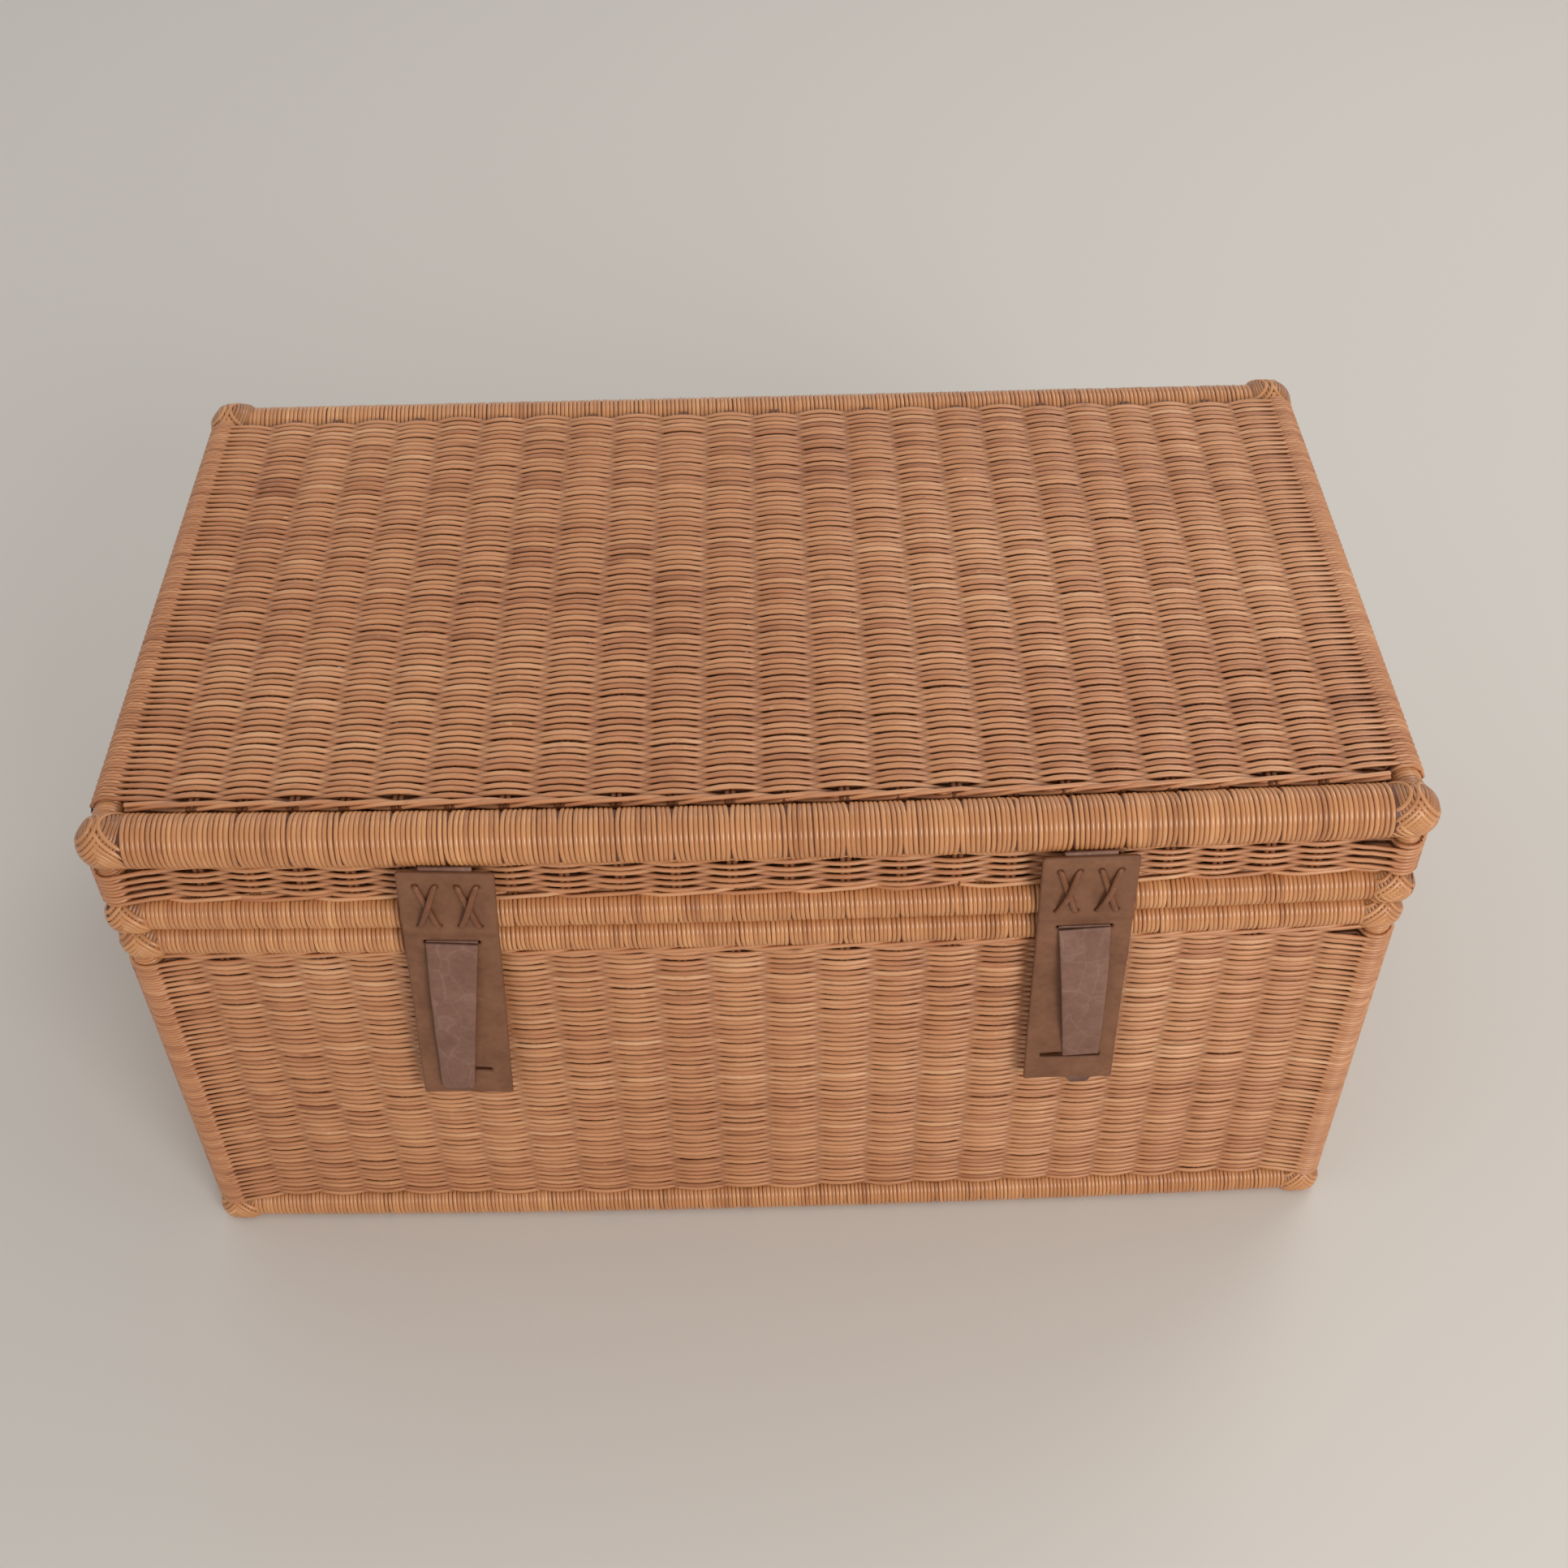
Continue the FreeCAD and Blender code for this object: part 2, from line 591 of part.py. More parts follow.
def tongue_outline(end):
    """The tongue's tapered outline, extruded through the whole front."""
    a = STRAP_W / 2
    b = TONGUE_END_W / 2
    c = b - TONGUE_NOSE
    above = SLIT_Z + 5
    ring = [(-a, above), (a, above), (a, SLIT_Z), (b, end + TONGUE_NOSE), (c, end), (-c, end),
            (-b, end + TONGUE_NOSE), (-a, SLIT_Z), (-a, above)]
    return Part.Face(Part.makePolygon([V(x, -FAR, z) for x, z in ring])).extrude(EY * FAR)


def tongue(tucked):
    """Leather tongue in front of the flap: loose, or tucked into the lower slit."""
    a = STRAP_W / 2
    y = PLATE_OUT_Y - TONGUE_GAP - TONGUE_T / 2
    profile = band(tongue_line(tucked), TUCKED_T if tucked else TONGUE_T)
    profile.translate(V(-a, 0, 0))
    knuckle = rod(V(-a, y, SLIT_Z), V(a, y, SLIT_Z), TONGUE_T / 2)
    blade = fused([profile.extrude(EX * STRAP_W), knuckle])
    return blade.common(tongue_outline(TONGUE_TIP_Z if tucked else TONGUE_END_Z))


def lace(x_top, x_low, lift):
    """One lace strand across the plate's face, its ends through two holes."""
    y = PLATE_OUT_Y - LACE_R - FIT
    a = V(x_top, y, HOLE_HIGH_Z)
    b = V(x_low, y, HOLE_LOW_Z)
    m = (a + b) * 0.5 - EY * lift
    pieces = [rod(a, m, LACE_R), rod(m, b, LACE_R)]
    pieces += [Part.makeSphere(LACE_R, p) for p in (a, m, b)]
    apron_out = APRON_FRONT_Y - WEAVE_T / 2 - bow(LACE_X)
    rail_out = -Y_RING - RAIL_R - bow(LACE_X)
    pieces.append(rod(a, V(a.x, apron_out + LACE_IN_APRON, a.z), LACE_R))
    pieces.append(rod(b, V(b.x, rail_out + LACE_IN_RAIL, b.z), LACE_R))
    return fused(pieces)


def laces():
    """Two crossed pairs of lace strands."""
    out = []
    for x0, x1 in ((HOLE_X[0], HOLE_X[1]), (HOLE_X[2], HOLE_X[3])):
        out.append(lace(x0, x1, 0.0))
        out.append(lace(x1, x0, LACE_LIFT))
    return out


# ---- assembly ------------------------------------------------------------
nodes = {}


def add(name, shapes):
    """Register one named piece, or several alike ones, as a node."""
    solids = []
    for s in shapes:
        solids += s.Solids
    nodes[name] = solids


SIDES = ("front", "back", "left", "right")

# base: poles, posts and the cane round them
for side, pole in zip(SIDES, ring_poles(X_BASE, Z_BOTTOM)):
    add("base_pole_bottom_" + side, [pole])
for side, pole in zip(SIDES, ring_poles(X_BASE, Z_BASE_TOP)):
    add("base_pole_top_" + side, [pole])
post_foot = Z_BOTTOM + POLE_R + FIT
post_head = Z_BASE_TOP - POLE_R - FIT
post_front = (-Y_RING, post_foot, post_head)
post_back = (Y_RING, post_foot, post_head)
add("base_corner_posts", corner_posts(X_BASE, post_front, post_back, POST_R))
base_posts_cut = post_sockets(X_BASE, post_front, post_back, POST_R + FIT)
wraps = []
for sx in (-1, 1):
    for sy in (-1, 1):
        wrap_foot = V(sx * X_BASE, sy * Y_RING, Z_BOTTOM + COLLAR)
        wrap_head = V(sx * X_BASE, sy * Y_RING, Z_BASE_TOP - COLLAR)
        wraps.append(sleeve(wrap_foot, wrap_head, POST_R + FIT, RAIL_R))
add("base_post_wraps", wraps)
worn = [s.cut(layer(-FAR, 0)) for s in ring_binding(X_BASE, Z_BOTTOM)]
add("base_binding_bottom_front", worn[:1])
add("base_binding_bottom_back", worn[1:2])
add("base_binding_bottom_sides", worn[2:])
add("base_binding_top", ring_binding(X_BASE, Z_BASE_TOP))
add("base_lashings_bottom",
    ring_lashings(X_BASE, Z_BOTTOM, 1, False, ring_sockets(X_BASE, Z_BOTTOM) + base_posts_cut,
                  z_min=FLOOR_WEAR))
add("base_lashings_top",
    ring_lashings(X_BASE, Z_BASE_TOP, -1, True, ring_sockets(X_BASE, Z_BASE_TOP) + base_posts_cut,
                  z_max=Z_SEAM - SEAM_GAP / 2))
base_walls = base_panels()
for side, (panel, stakes) in zip(SIDES, base_walls[:4]):
    add("base_weave_" + side, [panel])
    if side in ("front", "back"):
        add("base_stakes_" + side, stakes)
add("base_stakes_sides", base_walls[2][1] + base_walls[3][1])
add("base_weave_floor", [base_walls[4][0]])
add("base_stakes_floor", base_walls[4][1])
add("hinge_loops", [hinge_loop(xc) for xc in LOOP_X])

# lid
for side, pole in zip(SIDES, ring_poles(X_LID, Z_LID_LOW)):
    add("lid_pole_lower_" + side, [pole])
for side, pole in zip(SIDES, lid_top_poles()):
    add("lid_pole_top_" + side, [pole])
top_sockets = list(top_long_poles(THICK_POLE_R + FIT))
top_sockets += [top_side_pole(sx, SIDE_POLE_R + FIT) for sx in (-1, 1)]
lid_post_foot = Z_LID_LOW + POLE_R + FIT
lid_post_front = (Y_LID_POST_FRONT, lid_post_foot, Z_TOP_FRONT - THICK_POLE_R - FIT)
lid_post_back = (Y_LID_POST_BACK, lid_post_foot, Z_TOP_BACK - THICK_POLE_R - FIT)
add("lid_corner_posts", corner_posts(X_LID, lid_post_front, lid_post_back, LID_POST_R))
lid_posts_cut = post_sockets(X_LID, lid_post_front, lid_post_back, LID_POST_R + FIT)
add("lid_binding_top", lid_top_binding())
add("lid_binding_lower", ring_binding(X_LID, Z_LID_LOW))
low_knobs = ring_lashings(X_LID, Z_LID_LOW, 0, True, ring_sockets(X_LID, Z_LID_LOW) + lid_posts_cut,
                          z_min=Z_SEAM + SEAM_GAP / 2)
top_knobs = lid_top_lashings(top_sockets + lid_posts_cut)
add("lid_lashings_lower", low_knobs)
add("lid_lashings_top", top_knobs)
lid_wraps = []
for sx in (-1, 1):
    for y, high in ((Y_LID_POST_FRONT, LID_WRAP_FRONT_HIGH), (Y_LID_POST_BACK, LID_WRAP_BACK_HIGH)):
        wrap_foot = V(sx * X_LID, y, LID_WRAP_LOW)
        wrap = sleeve(wrap_foot, V(sx * X_LID, y, high), LID_POST_R + FIT, LID_POST_WRAP_R)
        lid_wraps.append(trimmed(wrap, low_knobs + top_knobs))
add("lid_post_wraps", lid_wraps)
lid_walls = lid_panels()
apron_stakes = []
for side, (panel, stakes) in zip(SIDES, lid_walls[:4]):
    add("lid_weave_" + side, [panel])
    apron_stakes += stakes
add("lid_stakes_apron", apron_stakes)
add("lid_weave_top", [lid_walls[4][0]])
add("lid_stakes_top", lid_walls[4][1])

# latches
for side, x, tilt, lean in LATCHES:
    add("latch_plate_" + side, [placed(latch_plate(), x, tilt)])
    add("latch_strap_" + side, [placed(latch_strap(), x, tilt)])
    add("latch_laces_" + side, [placed(s, x, tilt) for s in laces()])
    tucked = side == "right"
    slit_w, slit_h = OPEN_SLIT if tucked else (LOW_SLIT_W, LOW_SLIT_H)
    add("latch_flap_" + side, [placed(latch_flap(slit_w, slit_h), x, tilt)])
    add("latch_strap_root_" + side, [placed(strap_root(), x, tilt)])
    blade = tongue(tucked)
    blade.rotate(V(0, 0, SLIT_Z), EY, lean)
    add("latch_tongue_" + side, [placed(blade, x, tilt)])

placed_nodes = []
for name, solids in nodes.items():
    shape = solids[0] if len(solids) == 1 else Part.makeCompound(solids)
    shape.translate(V(0, SET_BACK, 0))
    if not shape.isValid():
        print("not valid:", name)
    shape.exportStep("parts/" + name + ".step")
    placed_nodes.append(shape)

box = Part.makeCompound(placed_nodes).optimalBoundingBox(False)
print(len(nodes), "nodes, x %.2f to %.2f, y %.2f to %.2f, z %.2f to %.2f"
      % (box.XMin, box.XMax, box.YMin, box.YMax, box.ZMin, box.ZMax))
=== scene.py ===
"""Looks for the woven rattan trunk: strands, bindings, lashings, leather, floor, light and camera.

Lengths are in metres in the model's own frame; MM turns millimetres into metres.
"""

import math

import bmesh
import bpy
import numpy as np
from mathutils import Matrix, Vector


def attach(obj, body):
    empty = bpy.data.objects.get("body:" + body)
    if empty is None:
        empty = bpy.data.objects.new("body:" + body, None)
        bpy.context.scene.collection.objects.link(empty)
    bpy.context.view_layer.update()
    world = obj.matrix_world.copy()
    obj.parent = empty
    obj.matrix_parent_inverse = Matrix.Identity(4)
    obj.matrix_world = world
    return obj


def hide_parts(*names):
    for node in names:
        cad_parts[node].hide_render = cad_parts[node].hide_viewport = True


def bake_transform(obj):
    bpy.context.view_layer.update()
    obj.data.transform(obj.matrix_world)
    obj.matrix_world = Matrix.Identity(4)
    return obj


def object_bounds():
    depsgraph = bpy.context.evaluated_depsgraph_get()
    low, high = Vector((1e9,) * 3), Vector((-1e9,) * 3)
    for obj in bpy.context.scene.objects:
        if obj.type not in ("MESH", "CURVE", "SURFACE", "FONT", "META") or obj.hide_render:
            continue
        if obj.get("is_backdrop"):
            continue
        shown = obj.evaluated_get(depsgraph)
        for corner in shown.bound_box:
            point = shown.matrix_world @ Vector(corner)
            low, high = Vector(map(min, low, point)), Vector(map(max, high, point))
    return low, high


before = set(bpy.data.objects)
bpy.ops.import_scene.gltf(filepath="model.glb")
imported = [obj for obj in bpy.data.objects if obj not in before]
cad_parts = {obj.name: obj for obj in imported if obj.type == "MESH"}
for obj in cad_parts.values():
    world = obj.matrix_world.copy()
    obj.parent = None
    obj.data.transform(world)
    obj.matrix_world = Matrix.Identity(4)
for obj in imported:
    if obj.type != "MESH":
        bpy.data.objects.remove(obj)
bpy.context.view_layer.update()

MM = 0.001
SEED = 20240611

# ---- sizes that the pieces share with the frame ----
SET_BACK = 7.30 * MM  # centres the trunk's box on the frame's origin
BOW = 6.0 * MM  # the long front side bulges forward at its middle
BOW_HALF = 384.0 * MM
BOW_R = (BOW_HALF ** 2 + BOW ** 2) / (2.0 * BOW)
X_BASE = 377.0 * MM  # corner posts and side rails of the base
X_LID = 381.0 * MM
Y_RING = 215.3 * MM
Z_BOTTOM = 10.6 * MM  # axes of the three lower rings
Z_BASE_TOP = 297.2 * MM
Z_LID_LOW = 319.6 * MM
Z_SEAM = 308.4 * MM
RAIL_R = 11.0 * MM
POLE_R = 9.6 * MM
PANEL_OUT = 2.0 * MM
FRONT_TOP = (-212.5 * MM, 378.0 * MM)  # y and z of the lid's thick front and back rails
BACK_TOP = (206.5 * MM, 373.0 * MM)
THICK_HALF = 365.4 * MM  # the thick rails' bindings end this far from the middle
Z_SIDE_TOP = 379.0 * MM
THICK_R = 16.3 * MM
THICK_POLE_R = 15.0 * MM
SIDE_POLE_R = 8.0 * MM
POST_R = 8.0 * MM
LID_POST_R = 7.0 * MM
LID_POST_WRAP_R = 10.0 * MM
LID_POST_Y = (-213.5 * MM, 211.0 * MM)
APRON_Y = (-214.0 * MM, 211.0 * MM)
TOP_Z = 386.5 * MM
TOP_EDGE = (-196.6 * MM, 192.8 * MM)
FLOOR_Z = 12.6 * MM
KNOB_R = 13.0 * MM  # corner lashings
SLIM_R = RAIL_R - 0.75 * MM  # and the ones next to the hinge
SLIM_END = 10.4 * MM
FRONT_KNOB_R = 15.9 * MM
BACK_KNOB_R = 16.1 * MM
BACK_KNOB = (207.5 * MM, 376.0 * MM)
TOP_KNOB_X = 379.6 * MM
TOP_KNOB_REACH = 17.5 * MM
LONG_STAKES = 22
LONG_SPAN = 660.0 * MM
SIDE_STAKES = 11
SIDE_SPAN = 320.0 * MM
LOOP_X = (-255.9 * MM, 0.0, 255.9 * MM)
WINDOW_HALF = 12.0 * MM  # openings in the back weave for the hinge loops
WINDOW_TOP = 338.5 * MM

# ---- sizes of the cane ----
ROW = 2.42 * MM  # distance from one woven strand to the next
TOP_ROW = 2.65 * MM
APRON_ROW = 2.85 * MM
FLOOR_ROW = 3.2 * MM
WRAP_PITCH = 2.7 * MM  # distance from one turn of a binding to the next
THICK_PITCH = 2.98 * MM  # and on the lid's thick rails
STRAND_T = 1.42 * MM  # half the thickness of a woven strand
SWING = 2.1 * MM  # a strand passes this far in front of or behind the stakes
TOP_SWING = 2.7 * MM
CROWN_W = 1.95 * MM  # half a strand's width where it crosses a stake
VALLEY_W = 1.4 * MM  # and midway between stakes, where the strands cross
CORNER_STAKE = 20.0 * MM  # strands cross this far inside a post or side rail
END_SWELL = 2.2 * MM  # the walls stand a little proud towards the posts
END_REACH = 75.0 * MM
STRIP_W = 0.49  # half a flat cane's width, as a share of the pitch
TONE_SPREAD = 0.10  # how much one strand's tone differs from the next

rng = np.random.default_rng(SEED)


def unit(a):
    return a / np.maximum(np.linalg.norm(a, axis=-1, keepdims=True), 1e-12)


def fraction(a):
    return np.clip(a, 0, 1)


def bow(x):
    return np.sqrt(BOW_R ** 2 - np.asarray(x) ** 2) - (BOW_R - BOW)


# ---- meshes from arrays ----
def sweep(path, out, half_w, half_t, section, tone, depth=0.0, closed=False, inner_depth=None):
    """Strands along path (strands, points, 3); out is their thickness direction at each point.

    section holds (across, out) pairs, a whole ring if it goes below zero. depth darkens the
    strands, and inner_depth, if given, the sides that face away from out; in the cane
    material this darkening is painted shade.
    """
    path = np.asarray(path, float)
    s, n = path.shape[:2]
    if closed:
        tangent = np.roll(path, -1, 1) - np.roll(path, 1, 1)
    else:
        tangent = np.gradient(path, axis=1)
    tangent = unit(tangent)
    out = unit(out - tangent * np.sum(out * tangent, -1, keepdims=True))
    side = np.cross(tangent, out)
    section = np.asarray(section, float)
    ring = len(section)
    w = np.broadcast_to(np.asarray(half_w, float), (s, n))[..., None, None]
    t = np.broadcast_to(np.asarray(half_t, float), (s, n))[..., None, None]
    co = (path[:, :, None] + side[:, :, None] * section[None, None, :, :1] * w
          + out[:, :, None] * section[None, None, :, 1:] * t)
    index = np.arange(s * n * ring).reshape(s, n, ring)
    nxt = np.roll(index, -1, 1) if closed else index[:, 1:]
    cur = index if closed else index[:, :-1]
    is_ring = section.min(axis=0)[1] < 0.0
    cur2 = np.roll(cur, -1, 2) if is_ring else cur[:, :, 1:]
    nxt2 = np.roll(nxt, -1, 2) if is_ring else nxt[:, :, 1:]
    if not is_ring:
        cur, nxt = cur[:, :, :-1], nxt[:, :, :-1]
    quads = np.stack([cur, nxt, nxt2, cur2], -1).reshape(-1, 4)
    step = np.linalg.norm(np.diff(path, axis=1), axis=-1)
    run = np.concatenate([np.zeros((s, 1)), np.cumsum(step, 1)], 1)
    fib = np.zeros((s, n, ring, 3))
    fib[..., 0] = run[..., None]
    fib[..., 1] = np.arange(ring) * 0.9 * MM
    fib[..., 2] = (np.arange(s) * 0.37 % 9.0)[:, None, None]
    tone = np.broadcast_to(np.asarray(tone, float).reshape(s, -1), (s, n))
    depth = np.repeat(np.broadcast_to(np.asarray(depth, float), (s, n)).reshape(-1), ring)
    if inner_depth is not None:
        inner = np.repeat(np.broadcast_to(inner_depth, (s, n)).reshape(-1), ring)
        depth = np.where(np.tile(section[:, 1] < -0.1, s * n), inner, depth)
    return {
        "co": co.reshape(-1, 3),
        "quads": quads,
        "tone": np.repeat(tone.reshape(-1), ring),
        "depth": depth,
        "fib": fib.reshape(-1, 3),
    }


OVAL = [(math.cos(a), math.sin(a)) for a in np.radians([0, 55, 125, 180, 235, 305])]
ROUND = [(math.cos(a), math.sin(a)) for a in np.radians(np.arange(0, 360, 36))]
STRIP = [(1.0, 0.0), (0.84, 0.72), (0.4, 1.0), (-0.4, 1.0), (-0.84, 0.72), (-1.0, 0.0)]


def joined(parts):
    """One part from several, and each vertex array in step."""
    out = {k: np.concatenate([p[k] for p in parts]) for k in ("co", "tone", "depth", "fib")}
    start = np.cumsum([0] + [len(p["co"]) for p in parts[:-1]])
    out["quads"] = np.concatenate([p["quads"] + a for p, a in zip(parts, start)])
    return out


def new_object(name, data):
    obj = bpy.data.objects.new(name, data)
    bpy.context.scene.collection.objects.link(obj)
    return obj


def set_values(mesh, key, values):
    data = mesh.attributes.new(key, "FLOAT", "POINT").data
    data.foreach_set("value", values.astype(np.float32))


def mesh_object(name, part):
    mesh = bpy.data.meshes.new(name)
    co, quads = part["co"], part["quads"]
    mesh.vertices.add(len(co))
    mesh.vertices.foreach_set("co", co.astype(np.float32).ravel())
    mesh.loops.add(quads.size)
    mesh.loops.foreach_set("vertex_index", quads.astype(np.int32).ravel())
    mesh.polygons.add(len(quads))
    mesh.polygons.foreach_set("loop_start", np.arange(0, quads.size, 4, dtype=np.int32))
    mesh.polygons.foreach_set("use_smooth", np.ones(len(quads), bool))
    for key in ("tone", "depth"):
        set_values(mesh, key, part[key])
    fib = mesh.attributes.new("fib", "FLOAT_VECTOR", "POINT")
    fib.data.foreach_set("vector", part["fib"].astype(np.float32).ravel())
    mesh.update(calc_edges=True)
    mesh.validate()
    return new_object(name, mesh)


def set_look(obj, material):
    obj.data.materials.clear()
    obj.data.materials.append(material)


def finish_piece(obj, material, body, nodes=()):
    """Material, body and material slot of a piece, and the CAD nodes it stands for."""
    set_look(obj, material)
    if body is not None:
        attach(obj, body)
    if nodes:
        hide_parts(*nodes)
    return obj


# ---- materials ----
def srgb(r, g, b):
    """Linear colour from 0-255 display values."""
    def lin(c):
        c /= 255.0
        return c / 12.92 if c <= 0.04045 else ((c + 0.055) / 1.055) ** 2.4
    return (lin(r), lin(g), lin(b), 1.0)


class Nodes:
    """Short calls for building a material's node tree."""

    def __init__(self, name):
        self.material = bpy.data.materials.new(name)
        self.material.use_nodes = True
        self.tree = self.material.node_tree
        self.shader = self.tree.nodes["Principled BSDF"]

    def add(self, kind, inputs, output=0, **settings):
        """A new node's output; each input is a constant or another node's output."""
        node = self.tree.nodes.new(kind)
        for key, value in settings.items():
            setattr(node, key, value)
        self.feed(node, inputs)
        return node.outputs[output]

    def feed(self, node, inputs):
        for key, value in inputs.items():
            if isinstance(value, bpy.types.NodeSocket):
                self.tree.links.new(value, node.inputs[key])
            else:
                node.inputs[key].default_value = value

    def attribute(self, name, output):
        return self.add("ShaderNodeAttribute", {}, output, attribute_name=name)

    def scaled(self, vector, scale):
        return self.add("ShaderNodeVectorMath", {0: vector, 1: scale}, operation="MULTIPLY")

    def noise(self, vector, scale, detail=3.0, roughness=0.55):
        return self.add("ShaderNodeTexNoise", {"Scale": scale, "Detail": detail,
                                               "Roughness": roughness, "Vector": vector}, "Fac")

    def ramp(self, value, stops):
        node = self.tree.nodes.new("ShaderNodeValToRGB")
        element = node.color_ramp.elements
        while len(element) < len(stops):
            element.new(0.5)
        for e, (position, colour) in zip(element, stops):
            e.position = position
            e.color = colour
        self.feed(node, {"Fac": value})
        return node.outputs["Color"]

    def math(self, operation, a, b):
        return self.add("ShaderNodeMath", {0: a, 1: b}, operation=operation)

    def mix(self, kind, fac, a, b):
        return self.add("ShaderNodeMix", {0: fac, 6: a, 7: b}, 2, data_type="RGBA", blend_type=kind)

    def shifted(self, value, noise, size):
        """value moved up or down by a noise about its middle."""
        shift = self.math("MULTIPLY", self.math("SUBTRACT", noise, 0.5), size)
        return self.math("ADD", value, shift)

    def flecks(self, noise, start, full):
        return self.ramp(noise, [(start, (0, 0, 0, 1)), (full, (1, 1, 1, 1))])

    def span(self, value, low, high):
        return self.add("ShaderNodeMapRange", {"Value": value, "To Min": low, "To Max": high})

    def bump(self, height, distance, strength):
        return self.add("ShaderNodeBump", {"Distance": distance, "Strength": strength,
                                           "Height": height})


# Colour of the painted shade in the weave's gaps and behind the stakes.
CANE_PAINTED_SHADE = srgb(84, 40, 21)


def cane(name, stops, rough, coat=0.0):
    """Rattan: a tone for each strand, with streaks along it, stains, and painted shade mixed in
    from the depth attribute.
    """
    n = Nodes(name)
    fib = n.attribute("fib", "Vector")
    place = n.add("ShaderNodeTexCoord", {}, "Object")
    tone = n.attribute("tone", "Fac")
    streak = n.noise(n.scaled(fib, (60.0, 900.0, 1.0)), 1.0, 4.0, 0.6)
    blotch = n.noise(n.scaled(fib, (22.0, 60.0, 3.1)), 1.0, 3.0, 0.6)
    patch = n.noise(place, 7.0, 2.0, 0.5)
    colour = n.ramp(n.shifted(n.shifted(tone, blotch, 0.6), patch, 0.5), stops)
    fine = n.span(streak, 0.78, 1.2)
    shade = n.add("ShaderNodeCombineColor", {0: fine, 1: fine, 2: fine})
    colour = n.mix("MULTIPLY", 1.0, colour, shade)
    pith = n.flecks(n.noise(n.scaled(fib, (130.0, 300.0, 7.7)), 1.0, 2.0, 0.5), 0.70, 0.80)
    colour = n.mix("MIX", n.math("MULTIPLY", pith, 0.45), colour, srgb(236, 190, 140))
    stain = n.flecks(n.noise(n.scaled(fib, (40.0, 200.0, 4.4)), 1.0, 3.0, 0.65), 0.62, 0.74)
    colour = n.mix("MIX", n.math("MULTIPLY", stain, 0.4), colour, srgb(118, 62, 34))
    # Painted shade: the depth attribute mixes a strand towards the dark gap colour where it lies
    # behind stakes, under crossings or round the back of a post.
    colour = n.mix("MIX", n.attribute("depth", "Fac"), colour, CANE_PAINTED_SHADE)
    n.feed(n.shader, {"Base Color": colour, "Roughness": n.span(streak, rough[1], rough[0]),
                      "Coat Weight": coat, "Coat Roughness": 0.22,
                      "Normal": n.bump(streak, 0.25 * MM, 0.25)})
    return n.material


def leather(name, dark, mid, light, rough=0.58, grain=0.12, crackle=0.0):
    n = Nodes(name)
    place = n.add("ShaderNodeTexCoord", {}, "Object")
    cloud = n.noise(place, 45.0, 5.0, 0.6)
    mottle = n.noise(place, 260.0, 4.0, 0.6)
    both = n.math("ADD", n.math("MULTIPLY", cloud, 0.65), n.math("MULTIPLY", mottle, 0.35))
    colour = n.ramp(both, [(0.26, dark), (0.5, mid), (0.76, light)])
    pores = n.add("ShaderNodeTexVoronoi", {"Scale": 1400.0, "Vector": place}, "Distance")
    scuff = n.flecks(n.noise(n.scaled(place, (1.0, 1.0, 0.35)), 170.0, 3.0, 0.7), 0.60, 0.72)
    colour = n.mix("MIX", n.math("MULTIPLY", scuff, 0.12), colour, light)
    if crackle:
        warp = n.add("ShaderNodeTexNoise", {"Scale": 40.0, "Detail": 2.0, "Vector": place}, "Color")
        bent = n.add("ShaderNodeVectorMath", {0: n.scaled(place, (1.0, 1.0, 0.55)),
                                              1: n.scaled(warp, (0.012, 0.012, 0.012))},
                     operation="ADD")
        cells = n.add("ShaderNodeTexVoronoi", {"Scale": 62.0, "Vector": bent}, "Distance",
                      feature="DISTANCE_TO_EDGE")
        lines = n.ramp(cells, [(0.0, (1, 1, 1, 1)), (0.035, (0, 0, 0, 1))])
        faint = n.math("MULTIPLY", lines, n.span(cloud, 0.0, crackle))
        colour = n.mix("MIX", faint, colour, srgb(172, 142, 126))
    wear = n.attribute("depth", "Fac")
    colour = n.mix("MIX", n.math("MULTIPLY", wear, 0.75), colour, dark)
    height = n.math("ADD", n.math("MULTIPLY", pores, 0.6), mottle)
    n.feed(n.shader, {"Base Color": colour, "Roughness": n.span(mottle, rough - 0.1, rough + 0.12),
                      "Specular IOR Level": 0.35, "Normal": n.bump(height, grain * MM, 0.7)})
    return n.material


WEAVE_STOPS = [(0.08, srgb(150, 90, 54)), (0.36, srgb(190, 127, 85)), (0.62, srgb(206, 146, 101)),
               (0.92, srgb(226, 174, 130))]
WRAP_STOPS = [(0.08, srgb(150, 90, 52)), (0.36, srgb(190, 128, 80)), (0.64, srgb(210, 149, 97)),
              (0.92, srgb(232, 178, 124))]
POLE_STOPS = [(0.2, srgb(92, 48, 26)), (0.5, srgb(128, 74, 42)), (0.8, srgb(152, 96, 58))]
STAKE_STOPS = [(0.2, srgb(118, 70, 40)), (0.5, srgb(168, 112, 70)), (0.8, srgb(206, 152, 104))]

weave_look = cane("woven_cane", WEAVE_STOPS, rough=(0.28, 0.44), coat=0.2)
wrap_look = cane("wrapped_cane", WRAP_STOPS, rough=(0.22, 0.38), coat=0.5)
lash_look = cane("lashing_cane", WRAP_STOPS, rough=(0.26, 0.42), coat=0.25)
pole_look = cane("rattan_pole_skin", POLE_STOPS, rough=(0.4, 0.6))
stake_look = cane("stake_cane", STAKE_STOPS, rough=(0.4, 0.6))
plate_look = leather("latch_leather", srgb(100, 62, 41), srgb(124, 82, 57), srgb(142, 98, 72),
                     rough=0.52, grain=0.05)
tongue_look = leather("tongue_leather", srgb(106, 70, 56), srgb(130, 94, 79), srgb(152, 116, 101),
                      rough=0.5, crackle=0.5)
lace_look = leather("lace_leather", srgb(92, 54, 34), srgb(122, 76, 50), srgb(150, 104, 76),
                    rough=0.36)
